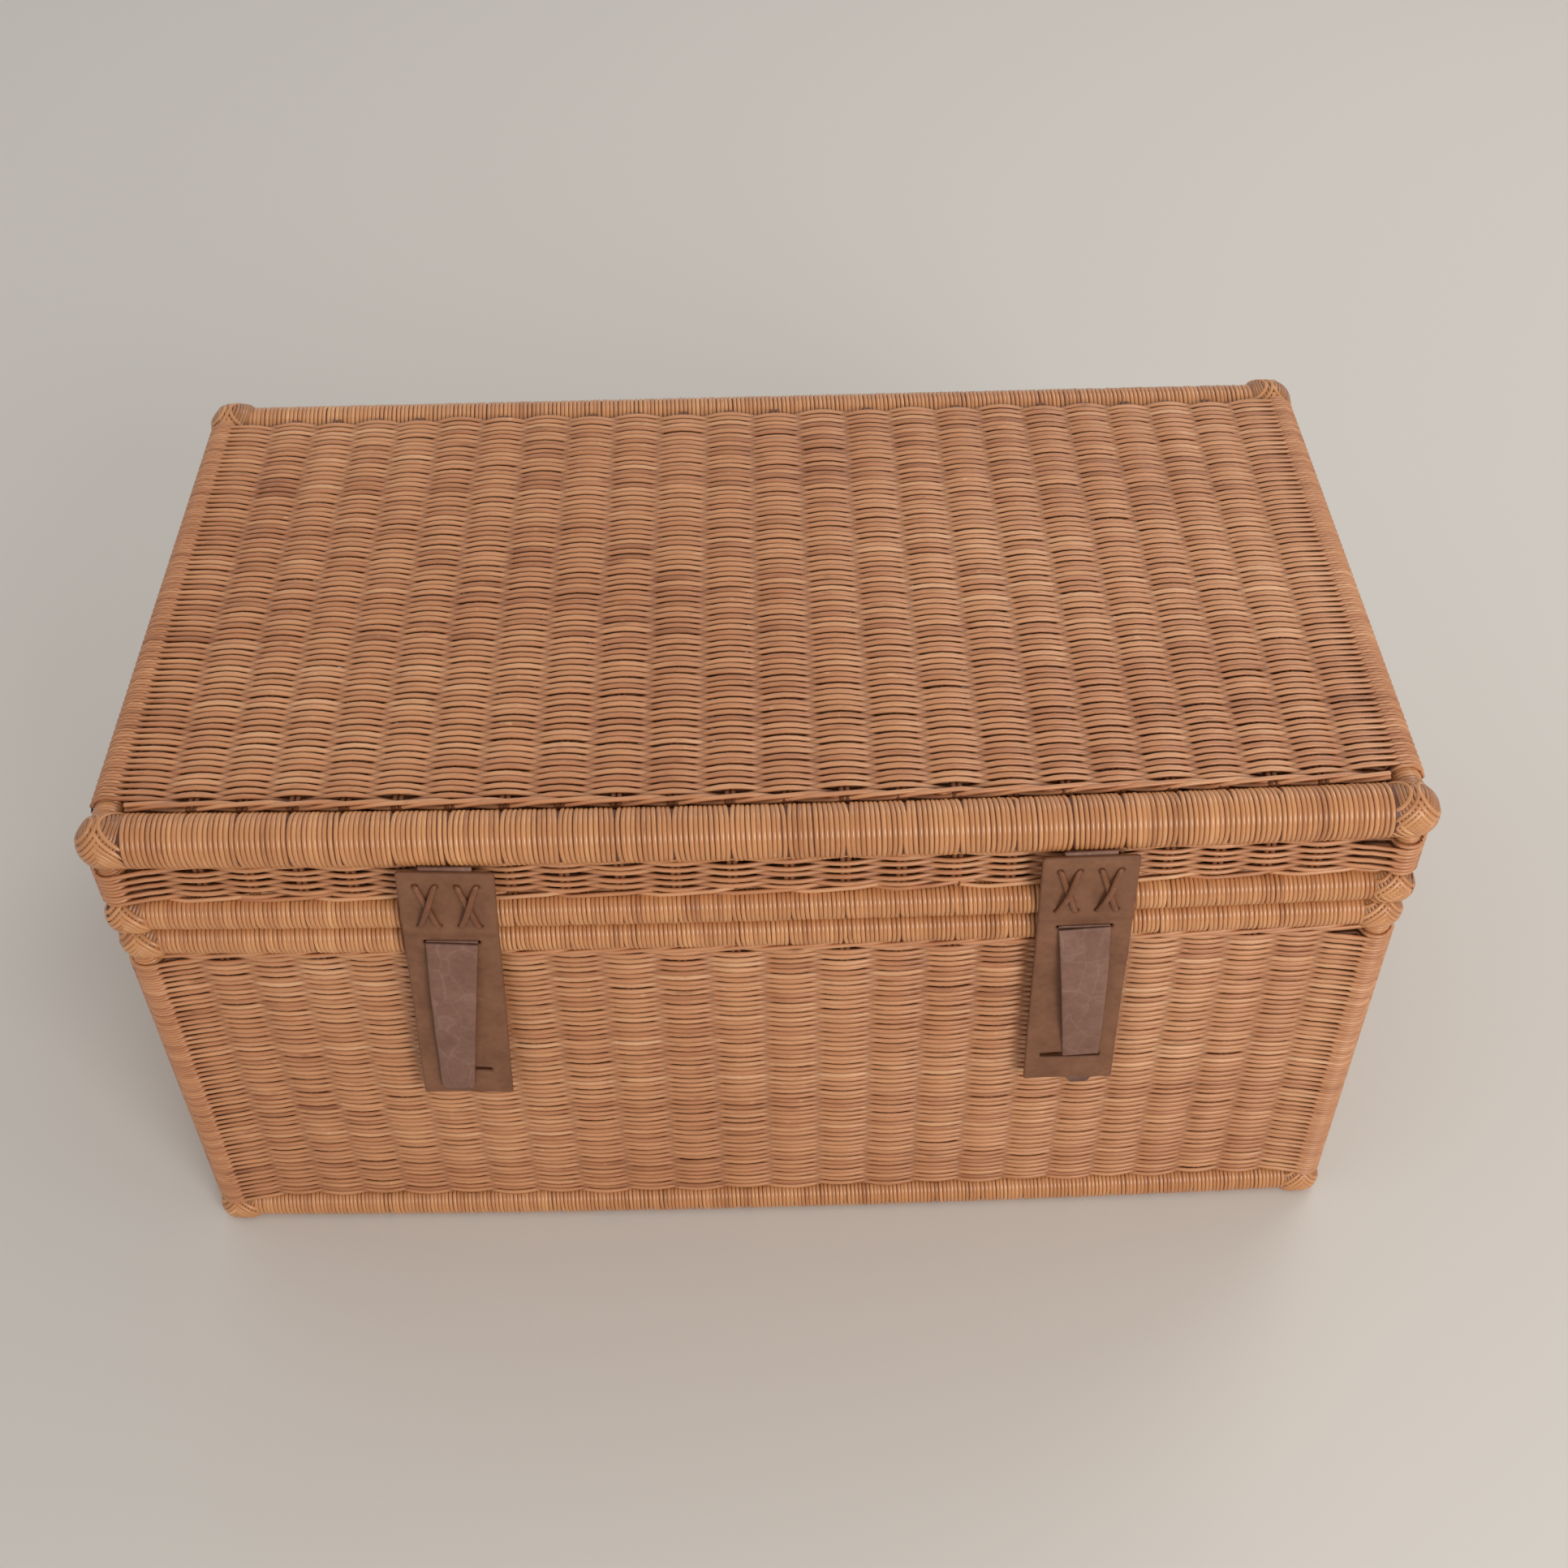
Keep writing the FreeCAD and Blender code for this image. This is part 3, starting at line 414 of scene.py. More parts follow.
loop_look = leather("loop_leather", srgb(70, 40, 26), srgb(106, 66, 44), srgb(140, 96, 70))


# ---- woven panels ----
def stake_places(count, span, ease=0.0):
    t = np.linspace(-1.0, 1.0, count)
    return span / 2 * (t + ease * np.sin(math.pi * t))


def ripple(rows, u, size):
    """Slow wander of each strand, different from row to row."""
    phase = rng.uniform(0, 2 * math.pi, (rows, 3))
    length = rng.uniform(60, 260, (rows, 3)) * MM
    waves = np.sin(2 * math.pi * u[None, :, None] / length[:, None] + phase[:, None])
    return size * waves.mean(-1)


def between(openings, ends):
    """The stretches that are left between openings."""
    edge = [ends[0]] + [e for pair in openings for e in pair] + [ends[1]]
    return list(zip(edge[::2], edge[1::2]))


def strand_tones(rows, u):
    """Tone along each strand; it changes where one cane ends and the next begins."""
    first = fraction(rng.normal(0.5, TONE_SPREAD, rows))
    second = fraction(rng.normal(0.5, TONE_SPREAD, rows))
    splice = rng.uniform(u[0], u[-1], rows)
    return np.where(u[None] < splice[:, None], first[:, None], second[:, None])


OVER_FIRST = -24.0  # angles round a post, in degrees from straight outward
UNDER_FIRST = -80.0
UNDER_SECOND = -52.0
SINK_ANGLE = 22.0  # a strand's end sinks by SINK over this angle
SINK = 0.7 * MM


def weave(surface, rows, stakes, posts, first=1, post_r=10.5 * MM, post_w=-PANEL_OUT, last=50.0,
          per_bay=5, crown=CROWN_W, valley=VALLEY_W, pitch=ROW, cover=None, skip=None, deep=SWING):
    """Plain weave over a panel: surface(u, v, w) gives points; rows are v, stakes are u.

    The strands cross once more just inside each post or rail of radius post_r, whose axis is at
    posts in u and post_w in w, and then lie side by side round it as far as the angle last.
    first is 1 when the even rows pass in front at the left end. crown and valley are half widths
    at a stake and between stakes, pitch is the row distance in v, and cover is the half width
    round the post. skip lists the openings in u, and deep is how far a strand swings in w.
    """
    count = len(stakes)
    marks = np.concatenate([[posts[0] + CORNER_STAKE], stakes, [posts[1] - CORNER_STAKE]])
    q = np.linspace(0, count + 1, (count + 1) * per_bay + 1)
    u = np.interp(q, np.arange(count + 2), marks)
    rows = np.asarray(rows, float)
    n = len(rows)
    parity = np.where(np.arange(n) % 2 == 0, 1.0, -1.0) * first
    swing = np.cos(math.pi * q)[None] * parity[:, None] * deep
    near_end = (np.abs(u) - posts[1] + END_REACH) / (END_REACH - CORNER_STAKE)
    swell = END_SWELL * fraction(near_end) ** 2
    crest = np.abs(np.cos(math.pi * q))[None]
    width = np.broadcast_to(valley + (crown - valley) * crest, swing.shape)
    over_angles = np.radians(np.linspace(OVER_FIRST, last, 7))
    under_angles = np.radians(np.concatenate([[UNDER_FIRST], np.linspace(UNDER_SECOND, last, 6)]))
    u_sides, w_sides, width_sides, painted_shade_sides = [], [], [], []
    for edge, sign in ((0, -1.0), (-1, 1.0)):
        over = (swing[:, edge] > 0)[:, None]
        angle = np.where(over, over_angles[None], under_angles[None])
        r = post_r - SINK * fraction((np.degrees(angle) - last + SINK_ANGLE) / SINK_ANGLE)
        us = posts[edge] + sign * r * np.sin(angle)
        ws = post_w + r * np.cos(angle)
        full = np.where(np.degrees(angle) > -30, cover or 0.39 * pitch, 1.1 * MM)
        # Painted shade on the strands' ends that turn round behind the post.
        dark = np.where(np.degrees(angle) > -45, 0.0, 0.5)
        for found, sides in zip((us, ws, full, dark), (u_sides, w_sides, width_sides, painted_shade_sides)):
            sides.append(found[:, ::-1] if sign < 0 else found)

    def with_sides(middle, sides):
        return np.concatenate([sides[0], middle, sides[1]], 1)

    u_all = with_sides(np.broadcast_to(u, swing.shape), u_sides)
    w_all = with_sides(swing + (swell if cover is None else 0.0), w_sides)
    width = with_sides(width, width_sides) * rng.normal(1.0, 0.06, (n, 1))
    span = np.linspace(posts[0], posts[1], u_all.shape[1])
    drift = 0.3 * np.sin(span[None] * 21.0 + rows[:, None] / pitch * 0.035)
    calm = fraction((posts[1] - np.abs(span)) / (60 * MM))[None]
    v = rows[:, None] + (drift + ripple(n, span, 0.22) + rng.normal(0, 0.04, (n, 1))) * calm * pitch
    height = w_all + ripple(n, span, 0.35 * MM) * calm
    path = surface(u_all, v, height)
    out = surface(u_all, v, height + MM) - path
    # Painted shade: a strand's outer side darkens where it swings behind the stakes, and its inner
    # side where it swings in front.
    depth = with_sides(fraction(0.35 - swing / deep) * 0.72, painted_shade_sides)
    inner = with_sides(fraction(0.35 + swing / deep) * 0.6, painted_shade_sides)
    tones = strand_tones(n, span)
    if skip is None:
        return sweep(path, out, width, STRAND_T, OVAL, tones, depth, inner_depth=inner)
    parts = []
    for a, b in between(skip, (u_all.min() - MM, u_all.max() + MM)):
        keep = (u_all[0] >= a) & (u_all[0] <= b)
        parts.append(sweep(path[:, keep], out[:, keep], width[:, keep], STRAND_T, OVAL,
                           tones[:, keep], depth[:, keep], inner_depth=inner[:, keep]))
    return joined(parts)


WALE_BAYS = 3.0  # a border strand comes to the front every third stake
WALE_SWING = 2.9 * MM
WALE_STEP = 4.2 * MM


def wale(surface, v0, stakes, ends, strands=3, rise=1.5 * MM, half=1.5 * MM):
    """Border of a few long strands twined together: each climbs in front, then dips behind."""
    spacing = (stakes[-1] - stakes[0]) / (len(stakes) - 1)
    u = np.linspace(ends[0], ends[1], int((ends[1] - ends[0]) / WALE_STEP))
    turn = 2 * math.pi * (u - stakes[0]) / (spacing * WALE_BAYS)
    phase = turn[None] + 2 * math.pi * np.arange(strands)[:, None] / strands
    phase = phase + ripple(strands, u, 0.5)
    v = v0 + rise * np.sin(phase)
    w = WALE_SWING * np.clip(np.cos(phase) + 0.45, -1, 1)
    path = surface(u[None] + 0 * v, v, w)
    out = surface(u[None] + 0 * v, v, w + MM) - path
    tone = fraction(rng.normal(0.5, 0.15, strands))
    # The border strands get painted shade where they dip behind the stakes.
    return sweep(path, out, half, 1.3 * MM, OVAL, tone, fraction(-w / WALE_SWING) * 0.4)


def wales(surface, v0, stakes, stretches, **look):
    return [wale(surface, v0, stakes, ends, **look) for ends in stretches]


def even_rows(low, high, pitch):
    count = int((high - low) / pitch)
    margin = ((high - low) - (count - 1) * pitch) / 2
    return low + margin + pitch * np.arange(count)


def front_surface(y_mid):
    return lambda u, v, w: np.stack([u, SET_BACK + y_mid - bow(u) - w, v], -1)


def back_surface(y_mid):
    return lambda u, v, w: np.stack([u, SET_BACK + y_mid + w, v], -1)


def side_surface(x_mid, sign):
    return lambda u, v, w: np.stack([sign * (x_mid + w), SET_BACK + u, v], -1)


def deck_surface(z_mid, sign, y_front, y_back):
    """Lid top or floor: v from 0 at the bowed front edge to 1 at the back edge."""
    def place(u, v, w):
        front = y_front - bow(u)
        return np.stack([u, SET_BACK + front + v * (y_back - front), z_mid + sign * w], -1)
    return place


long_stakes = stake_places(LONG_STAKES, LONG_SPAN, 0.02)
side_stakes = stake_places(SIDE_STAKES, SIDE_SPAN)
BASE_LOW = Z_BOTTOM + RAIL_R
BASE_HIGH = Z_BASE_TOP - RAIL_R
APRON_LOW = Z_LID_LOW + RAIL_R
base_ends = (-X_BASE, X_BASE)
lid_ends = (-X_LID, X_LID)
side_ends = (-Y_RING, Y_RING)
window_edges = [(c - WINDOW_HALF, c + WINDOW_HALF) for c in LOOP_X]


def base_wall(surface, stakes, ends, first, windows=()):
    """One wall of the base, with a twined border under its upper rail."""
    rows = even_rows(BASE_LOW, BASE_HIGH - 4.5 * MM, ROW)
    woven = weave(surface, rows, stakes, ends, first)
    return joined([woven] + wales(surface, BASE_HIGH - 2.0 * MM, stakes, between(windows, ends)))


def apron(surface, stakes, ends, high, first, post_w, windows=()):
    """One side of the lid; the back one leaves openings for the hinge loops."""
    low = APRON_LOW + 3.6 * MM
    rows = low + APRON_ROW * np.arange(int((high - 2.6 * MM - low) / APRON_ROW) + 1)
    look = {"crown": 1.62 * MM, "valley": 1.4 * MM, "pitch": APRON_ROW,
            "post_r": LID_POST_WRAP_R - 0.3 * MM, "post_w": post_w}
    if windows:
        cut = int(np.sum(rows < WINDOW_TOP))
        parts = [weave(surface, rows[:cut], stakes, ends, first, skip=windows, **look),
                 weave(surface, rows[cut:], stakes, ends, first * (-1) ** cut, **look)]
    else:
        parts = [weave(surface, rows, stakes, ends, first, **look)]
    parts += wales(surface, APRON_LOW + 1.2 * MM, stakes, between(windows, ends), rise=1.3 * MM,
                   strands=2)
    parts.append(wale(surface, high - 0.2 * MM, stakes, ends, rise=1.7 * MM, half=1.6 * MM))
    return joined(parts)


def panel_piece(name, part, body, node):
    nodes = (node,) if node else ()
    return finish_piece(mesh_object(name, part), weave_look, body, nodes)


BASE_WALLS = (("front", front_surface(-Y_RING - PANEL_OUT), long_stakes, base_ends, 1),
              ("back", back_surface(Y_RING + PANEL_OUT), long_stakes, base_ends, 1, window_edges),
              ("left", side_surface(X_BASE + PANEL_OUT, -1), side_stakes, side_ends, -1),
              ("right", side_surface(X_BASE + PANEL_OUT, 1), side_stakes, side_ends, 1))
for label, *wall in BASE_WALLS:
    panel_piece("woven_base_" + label, base_wall(*wall), "base", "base_weave_" + label)

floor_place = deck_surface(FLOOR_Z, -1, -Y_RING + RAIL_R, Y_RING - RAIL_R)
floor_step = FLOOR_ROW / (2 * (Y_RING - RAIL_R))
woven_floor = weave(floor_place, even_rows(0.0, 1.0, floor_step), long_stakes, base_ends,
                    post_r=3.0 * MM, post_w=0.0, last=0.0, per_bay=4, crown=2.4 * MM,
                    valley=1.7 * MM, pitch=floor_step, cover=1.6 * MM)
panel_piece("woven_floor", woven_floor, "base", "base_weave_floor")

FRONT_HIGH, BACK_HIGH, SIDE_HIGH = 361.6 * MM, 356.6 * MM, 366.0 * MM
APRONS = (
    ("front", front_surface(APRON_Y[0]), long_stakes, lid_ends, FRONT_HIGH, 1, -0.5 * MM),
    ("back", back_surface(APRON_Y[1]), long_stakes, lid_ends, BACK_HIGH, 1, 0.0, window_edges),
    ("left", side_surface(X_LID, -1), side_stakes, LID_POST_Y, SIDE_HIGH, -1, 0.0),
    ("right", side_surface(X_LID, 1), side_stakes, LID_POST_Y, SIDE_HIGH, 1, 0.0))
for label, *side in APRONS:
    panel_piece("woven_lid_" + label, apron(*side), "lid", "lid_weave_" + label)

top_place = deck_surface(TOP_Z, 1, TOP_EDGE[0], TOP_EDGE[1])
TOP_DEPTH = TOP_EDGE[1] - TOP_EDGE[0] + BOW
top_rows = even_rows(6.5 * MM / TOP_DEPTH, 1.0 - 1.0 * MM / TOP_DEPTH, TOP_ROW / TOP_DEPTH)


def top_surface(u, v, w):
    """The woven top sinks a little away from its stakes and is never quite level."""
    p = top_place(u, v, w)
    dip = np.sin(u * 9.3 + 2.0 * v) * np.sin(3.1 * v + u * 3.0)
    p[..., 2] += 0.5 * MM * dip * fraction((X_LID - np.abs(u)) / (60 * MM))
    return p


def top_weave(rows, first):
    return weave(top_surface, rows, long_stakes, lid_ends, first, post_r=RAIL_R - 0.2 * MM,
                 post_w=Z_SIDE_TOP - TOP_Z, last=118.0, crown=2.1 * MM, valley=1.5 * MM,
                 pitch=TOP_ROW / TOP_DEPTH, cover=0.40 * TOP_ROW, deep=TOP_SWING)


half_rows = len(top_rows) // 2
border = wale(lambda u, v, w: top_surface(u, v / TOP_DEPTH, w), 2.4 * MM, long_stakes,
              (-X_LID + 12 * MM, X_LID - 12 * MM), rise=1.4 * MM, half=1.7 * MM)
front_half = joined([top_weave(top_rows[:half_rows], 1), border])
panel_piece("woven_lid_top_front", front_half, "lid", "lid_weave_top")
panel_piece("woven_lid_top_back", top_weave(top_rows[half_rows:], (-1) ** half_rows), "lid", None)


# ---- cane bindings round the rails and posts ----
NOTCH_AWAY = math.radians(135.0)  # the turns lie evenly on the rail's upper outer side


def binding(line, along, side, start, end, r_in, r_out, pitch=WRAP_PITCH, samples=16, notch=None,
            notch_share=0.07):
    """Helix of flat cane round a rail or post: line(s) is its axis at distance s.

    Away from the rail's outer side the turns draw together between the stakes at notch, which
    leaves a dark notch at each stake.
    """
    turns = int(abs(end - start) / pitch)
    angle = np.linspace(0, 2 * math.pi * turns, turns * samples + 1)
    turn = angle / (2 * math.pi)

    def by_turn(values):
        return np.interp(turn, np.arange(turns + 1), values)

    wobble = by_turn(rng.normal(0, 0.07, turns + 1)) * pitch
    s = start + (end - start) * turn / turns + wobble
    if notch is not None:
        k = np.clip(np.searchsorted(notch, s), 1, len(notch) - 1)
        bay_mid = (notch[k] + notch[k - 1]) / 2
        gather = notch_share * fraction(1.15 - 1.35 * np.cos(angle - NOTCH_AWAY))
        inside = (s > notch[0]) & (s < notch[-1])
        s = np.where(inside, bay_mid + (s - bay_mid) * (1 - gather), s)
    centre = line(s)
    side = np.asarray(side, float)
    up = np.cross(along, side)
    radial = np.cos(angle)[:, None] * side + np.sin(angle)[:, None] * up
    lift = by_turn(rng.normal(0, 0.12, turns + 1)) * MM
    rise = (r_out - r_in) + lift
    path = centre + radial * r_in
    tone = by_turn(fraction(rng.normal(0.5, TONE_SPREAD, turns + 1)))
    half = pitch * STRIP_W * (1 + by_turn(rng.normal(0, 0.05, turns + 1)))
    return sweep(path[None], radial[None], half[None], rise[None], STRIP, tone[None])


EX = np.array([1.0, 0.0, 0.0])
EY = np.array([0.0, 1.0, 0.0])
EZ = np.array([0.0, 0.0, 1.0])


def straight(point, direction):
    return lambda s: np.asarray(point)[None] + s[:, None] * direction[None]


def bowed_line(y, z):
    return lambda s: np.stack([s, SET_BACK + y - bow(s), 0 * s + z], -1)


def keep_level(part, low=None, high=None):
    """Flatten a part where it would pass below low or above high."""
    z = part["co"][:, 2]
    if low is not None:
        z[:] = np.maximum(z, low)
    if high is not None:
        z[:] = np.minimum(z, high)
    return part


def ring_bindings(x, z, low=None, high=None):
    """The four rails of a lower ring: front, back, left and right."""
    run = x - 7 * MM
    depth = Y_RING - 7 * MM
    sizes = (POLE_R, RAIL_R)
    parts = [binding(bowed_line(-Y_RING, z), EX, EY, -run, run, *sizes, notch=long_stakes,
                     notch_share=0.05),
             binding(straight((0, SET_BACK + Y_RING, z), EX), EX, EY, -run, run, *sizes)]
    for sign in (-1, 1):
        line = straight((sign * x, SET_BACK, z), EY)
        parts.append(binding(line, EY, EX, -depth, depth, *sizes))
    return [keep_level(part, low, high) for part in parts]


def wrap_piece(name, parts, body, nodes, look=None):
    return finish_piece(mesh_object(name, joined(parts)), look or wrap_look, body, nodes)


BASE_HIGHEST = Z_SEAM - 0.15 * MM  # the base's and the lid's cane stay clear of the seam
LID_LOWEST = Z_SEAM + 0.15 * MM
bottom = ring_bindings(X_BASE, Z_BOTTOM, low=0.05 * MM)
wrap_piece("wrapped_bottom_rail_front", bottom[:1], "base", ("base_binding_bottom_front",))
wrap_piece("wrapped_bottom_rail_back", bottom[1:2], "base", ("base_binding_bottom_back",))
wrap_piece("wrapped_bottom_rail_sides", bottom[2:], "base", ("base_binding_bottom_sides",))
upper = ring_bindings(X_BASE, Z_BASE_TOP, high=BASE_HIGHEST)
wrap_piece("wrapped_base_rails", upper, "base", ("base_binding_top",))
wrap_piece("wrapped_lid_lower_rails", ring_bindings(X_LID, Z_LID_LOW, low=LID_LOWEST), "lid",
           ("lid_binding_lower",))

thick = {"start": -THICK_HALF, "end": THICK_HALF, "r_in": THICK_POLE_R - 0.6 * MM, "r_out": THICK_R,
         "pitch": THICK_PITCH, "samples": 22}
back_line = straight((0, SET_BACK + BACK_TOP[0], BACK_TOP[1]), EX)
top_rails = [binding(bowed_line(*FRONT_TOP), EX, EY, notch=long_stakes, **thick),
             binding(back_line, EX, EY, **thick)]
for sign in (-1, 1):
    line = straight((sign * X_LID, SET_BACK, Z_SIDE_TOP), EY)
    top_rails.append(binding(line, EY, EX, -206 * MM, 200 * MM, SIDE_POLE_R + 0.6 * MM,
                             RAIL_R - 1.7 * MM, pitch=TOP_ROW))
wrap_piece("wrapped_lid_top_rails", top_rails, "lid", ("lid_binding_top",))


def post_wrap(x, y, low, high, r_in, r_out):
    line = straight((x, SET_BACK + y, 0), EZ)
    return binding(line, EZ, EX, low, high, r_in, r_out, pitch=ROW)


post_parts = []
lid_post_parts = []
for sx in (-1, 1):
    for sy in (-1, 1):
        post_parts.append(post_wrap(sx * X_BASE, sy * Y_RING, Z_BOTTOM + 8 * MM,
                                    Z_BASE_TOP - 8 * MM, POST_R + 0.4 * MM, RAIL_R - 1.8 * MM))
    for y, head in zip(LID_POST_Y, (364.0 * MM, 360.0 * MM)):
        lid_post_parts.append(post_wrap(sx * X_LID, y, Z_LID_LOW + 8 * MM, head,
                                        LID_POST_R + 0.4 * MM, LID_POST_WRAP_R - 1.6 * MM))
wrap_piece("wrapped_base_posts", post_parts, "base", ("base_post_wraps",))
wrap_piece("wrapped_lid_posts", lid_post_parts, "lid", ("lid_post_wraps",))


# ---- corner lashings ----
CORE_ROWS, CORE_COLUMNS = 14, 24
CORE_POINTS = CORE_ROWS * CORE_COLUMNS
CORE_UNDER = 1.35 * MM  # the core lies this far under its lashing's surface
LASH_PITCH = 2.55 * MM


def ball(r):
    """Round core under a lashing, in a low tone and with painted shade, where it shows between the
    loops.
    """
    a = np.linspace(0, 2 * math.pi, CORE_COLUMNS, endpoint=False)
    b = np.linspace(0.02, math.pi - 0.02, CORE_ROWS)
    p = np.stack([np.sin(b)[:, None] * np.cos(a), np.sin(b)[:, None] * np.sin(a),
                  np.cos(b)[:, None] + 0 * a], -1) * r
    index = np.arange(CORE_POINTS).reshape(CORE_ROWS, CORE_COLUMNS)
    above, below = index[:-1], index[1:]
    quads = np.stack([above, below, np.roll(below, -1, 1), np.roll(above, -1, 1)], -1)
    return {"co": p.reshape(-1, 3), "quads": quads.reshape(-1, 4),
            "tone": np.full(CORE_POINTS, 0.25), "depth": np.full(CORE_POINTS, 0.3),
            "fib": p.reshape(-1, 3)}


def barrel(p, r, inboard, reach, slim_end=None):
    """Draw a ball's inboard half out to reach, full almost to its end, so that it meets the rail.

    A slim lashing is squared off in the same way at its outer end, slim_end from its centre.
    """
    for axis, length in ((inboard, reach), (-inboard, slim_end)):
        if length is not None:
            t = np.clip(p @ axis / r, 0, 0.995)
            along = (p @ axis)[:, None] * axis
            full = ((1 - t ** 5) ** 0.2 / np.sqrt(1 - t ** 2))[:, None]
            p = np.where(t[:, None] > 0, along * (length / r) + (p - along) * full, p)
    return p


def lashing(centre, r, pattern, sx, reach, slim_end=None):
    """Two sets of cane loops round a corner, crossing in diamonds or meeting in chevrons.

    The loops lie across the diagonals of the front plane. sx is the corner's side, and the
    lashing reaches this far inboard along its rail.
    """
    centre = np.asarray(centre, float)
    core = ball(r - CORE_UNDER)
    core["co"] = barrel(core["co"], r - CORE_UNDER, -sx * EX, reach, slim_end)
    core["co"] = core["co"] + centre
    parts = [core]
    for way, normal in ((1, unit(EX + EZ)), (-1, unit(EX - EZ))):
        e1 = unit(np.cross(normal, np.cross(EX, EZ)))
        e2 = np.cross(normal, e1)
        angle = np.linspace(0, 2 * math.pi, 40, endpoint=False)
        for d in np.arange(-0.86 * r, 0.87 * r, LASH_PITCH):
            ring = math.sqrt(max(r * r - d * d, 0))
            p = normal * d + ring * (np.cos(angle)[:, None] * e1 + np.sin(angle)[:, None] * e2)
            split = (p @ EX) * (p @ EZ) if pattern == "diamond" else (p @ EX) * r
            top = np.tanh(split / (0.10 * r * r)) * way
            out = unit(p)
            p = barrel(p, r, -sx * EX, reach, slim_end)
            path = centre + p + out * (0.4 * MM * top[:, None] - 0.75 * MM)
            tone = fraction(rng.normal(0.5, TONE_SPREAD))
            # Loops get painted shade where they pass under the other set.
            parts.append(sweep(path[None], out[None], STRIP_W * LASH_PITCH, 0.9 * MM, STRIP, tone,
                               fraction(-top)[None] * 0.35, closed=True))
    return joined(parts)


def ring_knobs(x, z, slim_back, patterns, low=None, high=None):
    """The four corner lashings of a ring; the back ones are slim where the lid turns past."""
    parts = []
    for sx, pattern in zip((-1, 1), patterns):
        for sy in (-1, 1):
            slim = slim_back and sy > 0
            r = SLIM_R if slim else KNOB_R
            knob = lashing((sx * x, SET_BACK + sy * Y_RING, z), r, pattern, sx, r + 2 * MM,
                           SLIM_END if slim else None)
            under = np.where(np.arange(len(knob["co"])) < CORE_POINTS, 0.5 * MM, 0.0)
            keep_level(knob, None if low is None else low + under,
                       None if high is None else high - under)
            parts.append(knob)
    return parts


def lash_piece(name, parts, body, node):
    return wrap_piece(name, parts, body, (node,), lash_look)


PLAIN = ("chevron", "chevron")  # patterns at the left and right corners
MIXED = ("chevron", "diamond")
bottom_knobs = ring_knobs(X_BASE, Z_BOTTOM, False, PLAIN, low=0.3 * MM)
lash_piece("lashed_bottom_corners", bottom_knobs, "base", "base_lashings_bottom")
base_knobs = ring_knobs(X_BASE, Z_BASE_TOP, True, PLAIN, high=BASE_HIGHEST)
lash_piece("lashed_base_corners", base_knobs, "base", "base_lashings_top")
lid_knobs = ring_knobs(X_LID - 1.2 * MM, Z_LID_LOW, True, MIXED, low=LID_LOWEST)
lash_piece("lashed_lid_lower_corners", lid_knobs, "lid", "lid_lashings_lower")
top_knobs = []
for sx, pattern in zip((-1, 1), MIXED):
    for r, (y, z) in ((FRONT_KNOB_R, FRONT_TOP), (BACK_KNOB_R, BACK_KNOB)):
        place = (sx * TOP_KNOB_X, SET_BACK + y, z)
        top_knobs.append(lashing(place, r, pattern, sx, TOP_KNOB_REACH))
lash_piece("lashed_lid_top_corners", top_knobs, "lid", "lid_lashings_top")


# ---- leather ----
PLATE_W = 57.0 * MM
PLATE_T = 2.6 * MM
PLATE_TOP = 368.3 * MM
PLATE_PIVOT = 363.0 * MM  # each latch leans about this height
PLATE_BOTTOM = 158.0 * MM
PLATE_IN_Y = -233.7 * MM
PLATE_OUT_Y = PLATE_IN_Y - PLATE_T
FLEX_Z = 315.0 * MM
SLIT_Z, SLIT_W, SLIT_H = 308.0 * MM, 34.0 * MM, 3.2 * MM
LOW_SLIT_Z, LOW_SLIT_W, LOW_SLIT_H = 183.0 * MM, 32.5 * MM, 3.9 * MM
HOLE_X = (-18.0 * MM, -6.0 * MM, 6.0 * MM, 18.0 * MM)
HOLE_Z = (357.3 * MM, 322.8 * MM)
HOLE_R = 1.55 * MM
LACE_R = 1.4 * MM
STRAP_W = 31.0 * MM
TONGUE_T = 2.2 * MM
TUCKED_T = 1.6 * MM
OPEN_SLIT = (38.0 * MM, 5.6 * MM)  # the tucked tongue holds its slit open
TONGUE_GAP = 0.4 * MM
TONGUE_END_W = 20.5 * MM
LOOSE_RISE, TUCKED_RISE = 3.4 * MM, 4.6 * MM  # how far a tongue bulges forward
LOOSE_END, TUCKED_END = 164.5 * MM, 148.0 * MM
VOXEL = 0.85 * MM
LATCHES = (("left", -182.2 * MM, 3.24, 2.5), ("right", 191.5 * MM, -1.09, -3.1))


# Cross-section of a leather strip with rounded edges: its lower half, then the whole
SLAB_LOW = ([(-1.0, -0.35), (-0.965, -0.85)] + [(x, -1.0) for x in np.linspace(-0.9, 0.9, 9)]
            + [(0.965, -0.85), (1.0, -0.35)])
SLAB = [(-x, -y) for x, y in SLAB_LOW][::-1] + SLAB_LOW[::-1]


def turned(obj, degrees, z):
    """Tilt in the front plane about height z at x = 0."""
    spin = Matrix.Translation((0, 0, z)) @ Matrix.Rotation(math.radians(degrees), 4, "Y")
    obj.data.transform(spin @ Matrix.Translation((0, 0, -z)))


def set_latch(obj, x, tilt):
    turned(obj, tilt, PLATE_PIVOT)
    obj.data.transform(Matrix.Translation((x, SET_BACK, 0)))


def as_mesh(obj):
    """A mesh of the object as it stands, modifiers included."""
    bpy.context.view_layer.update()
    view = bpy.context.evaluated_depsgraph_get()
    return bpy.data.meshes.new_from_object(obj.evaluated_get(view))


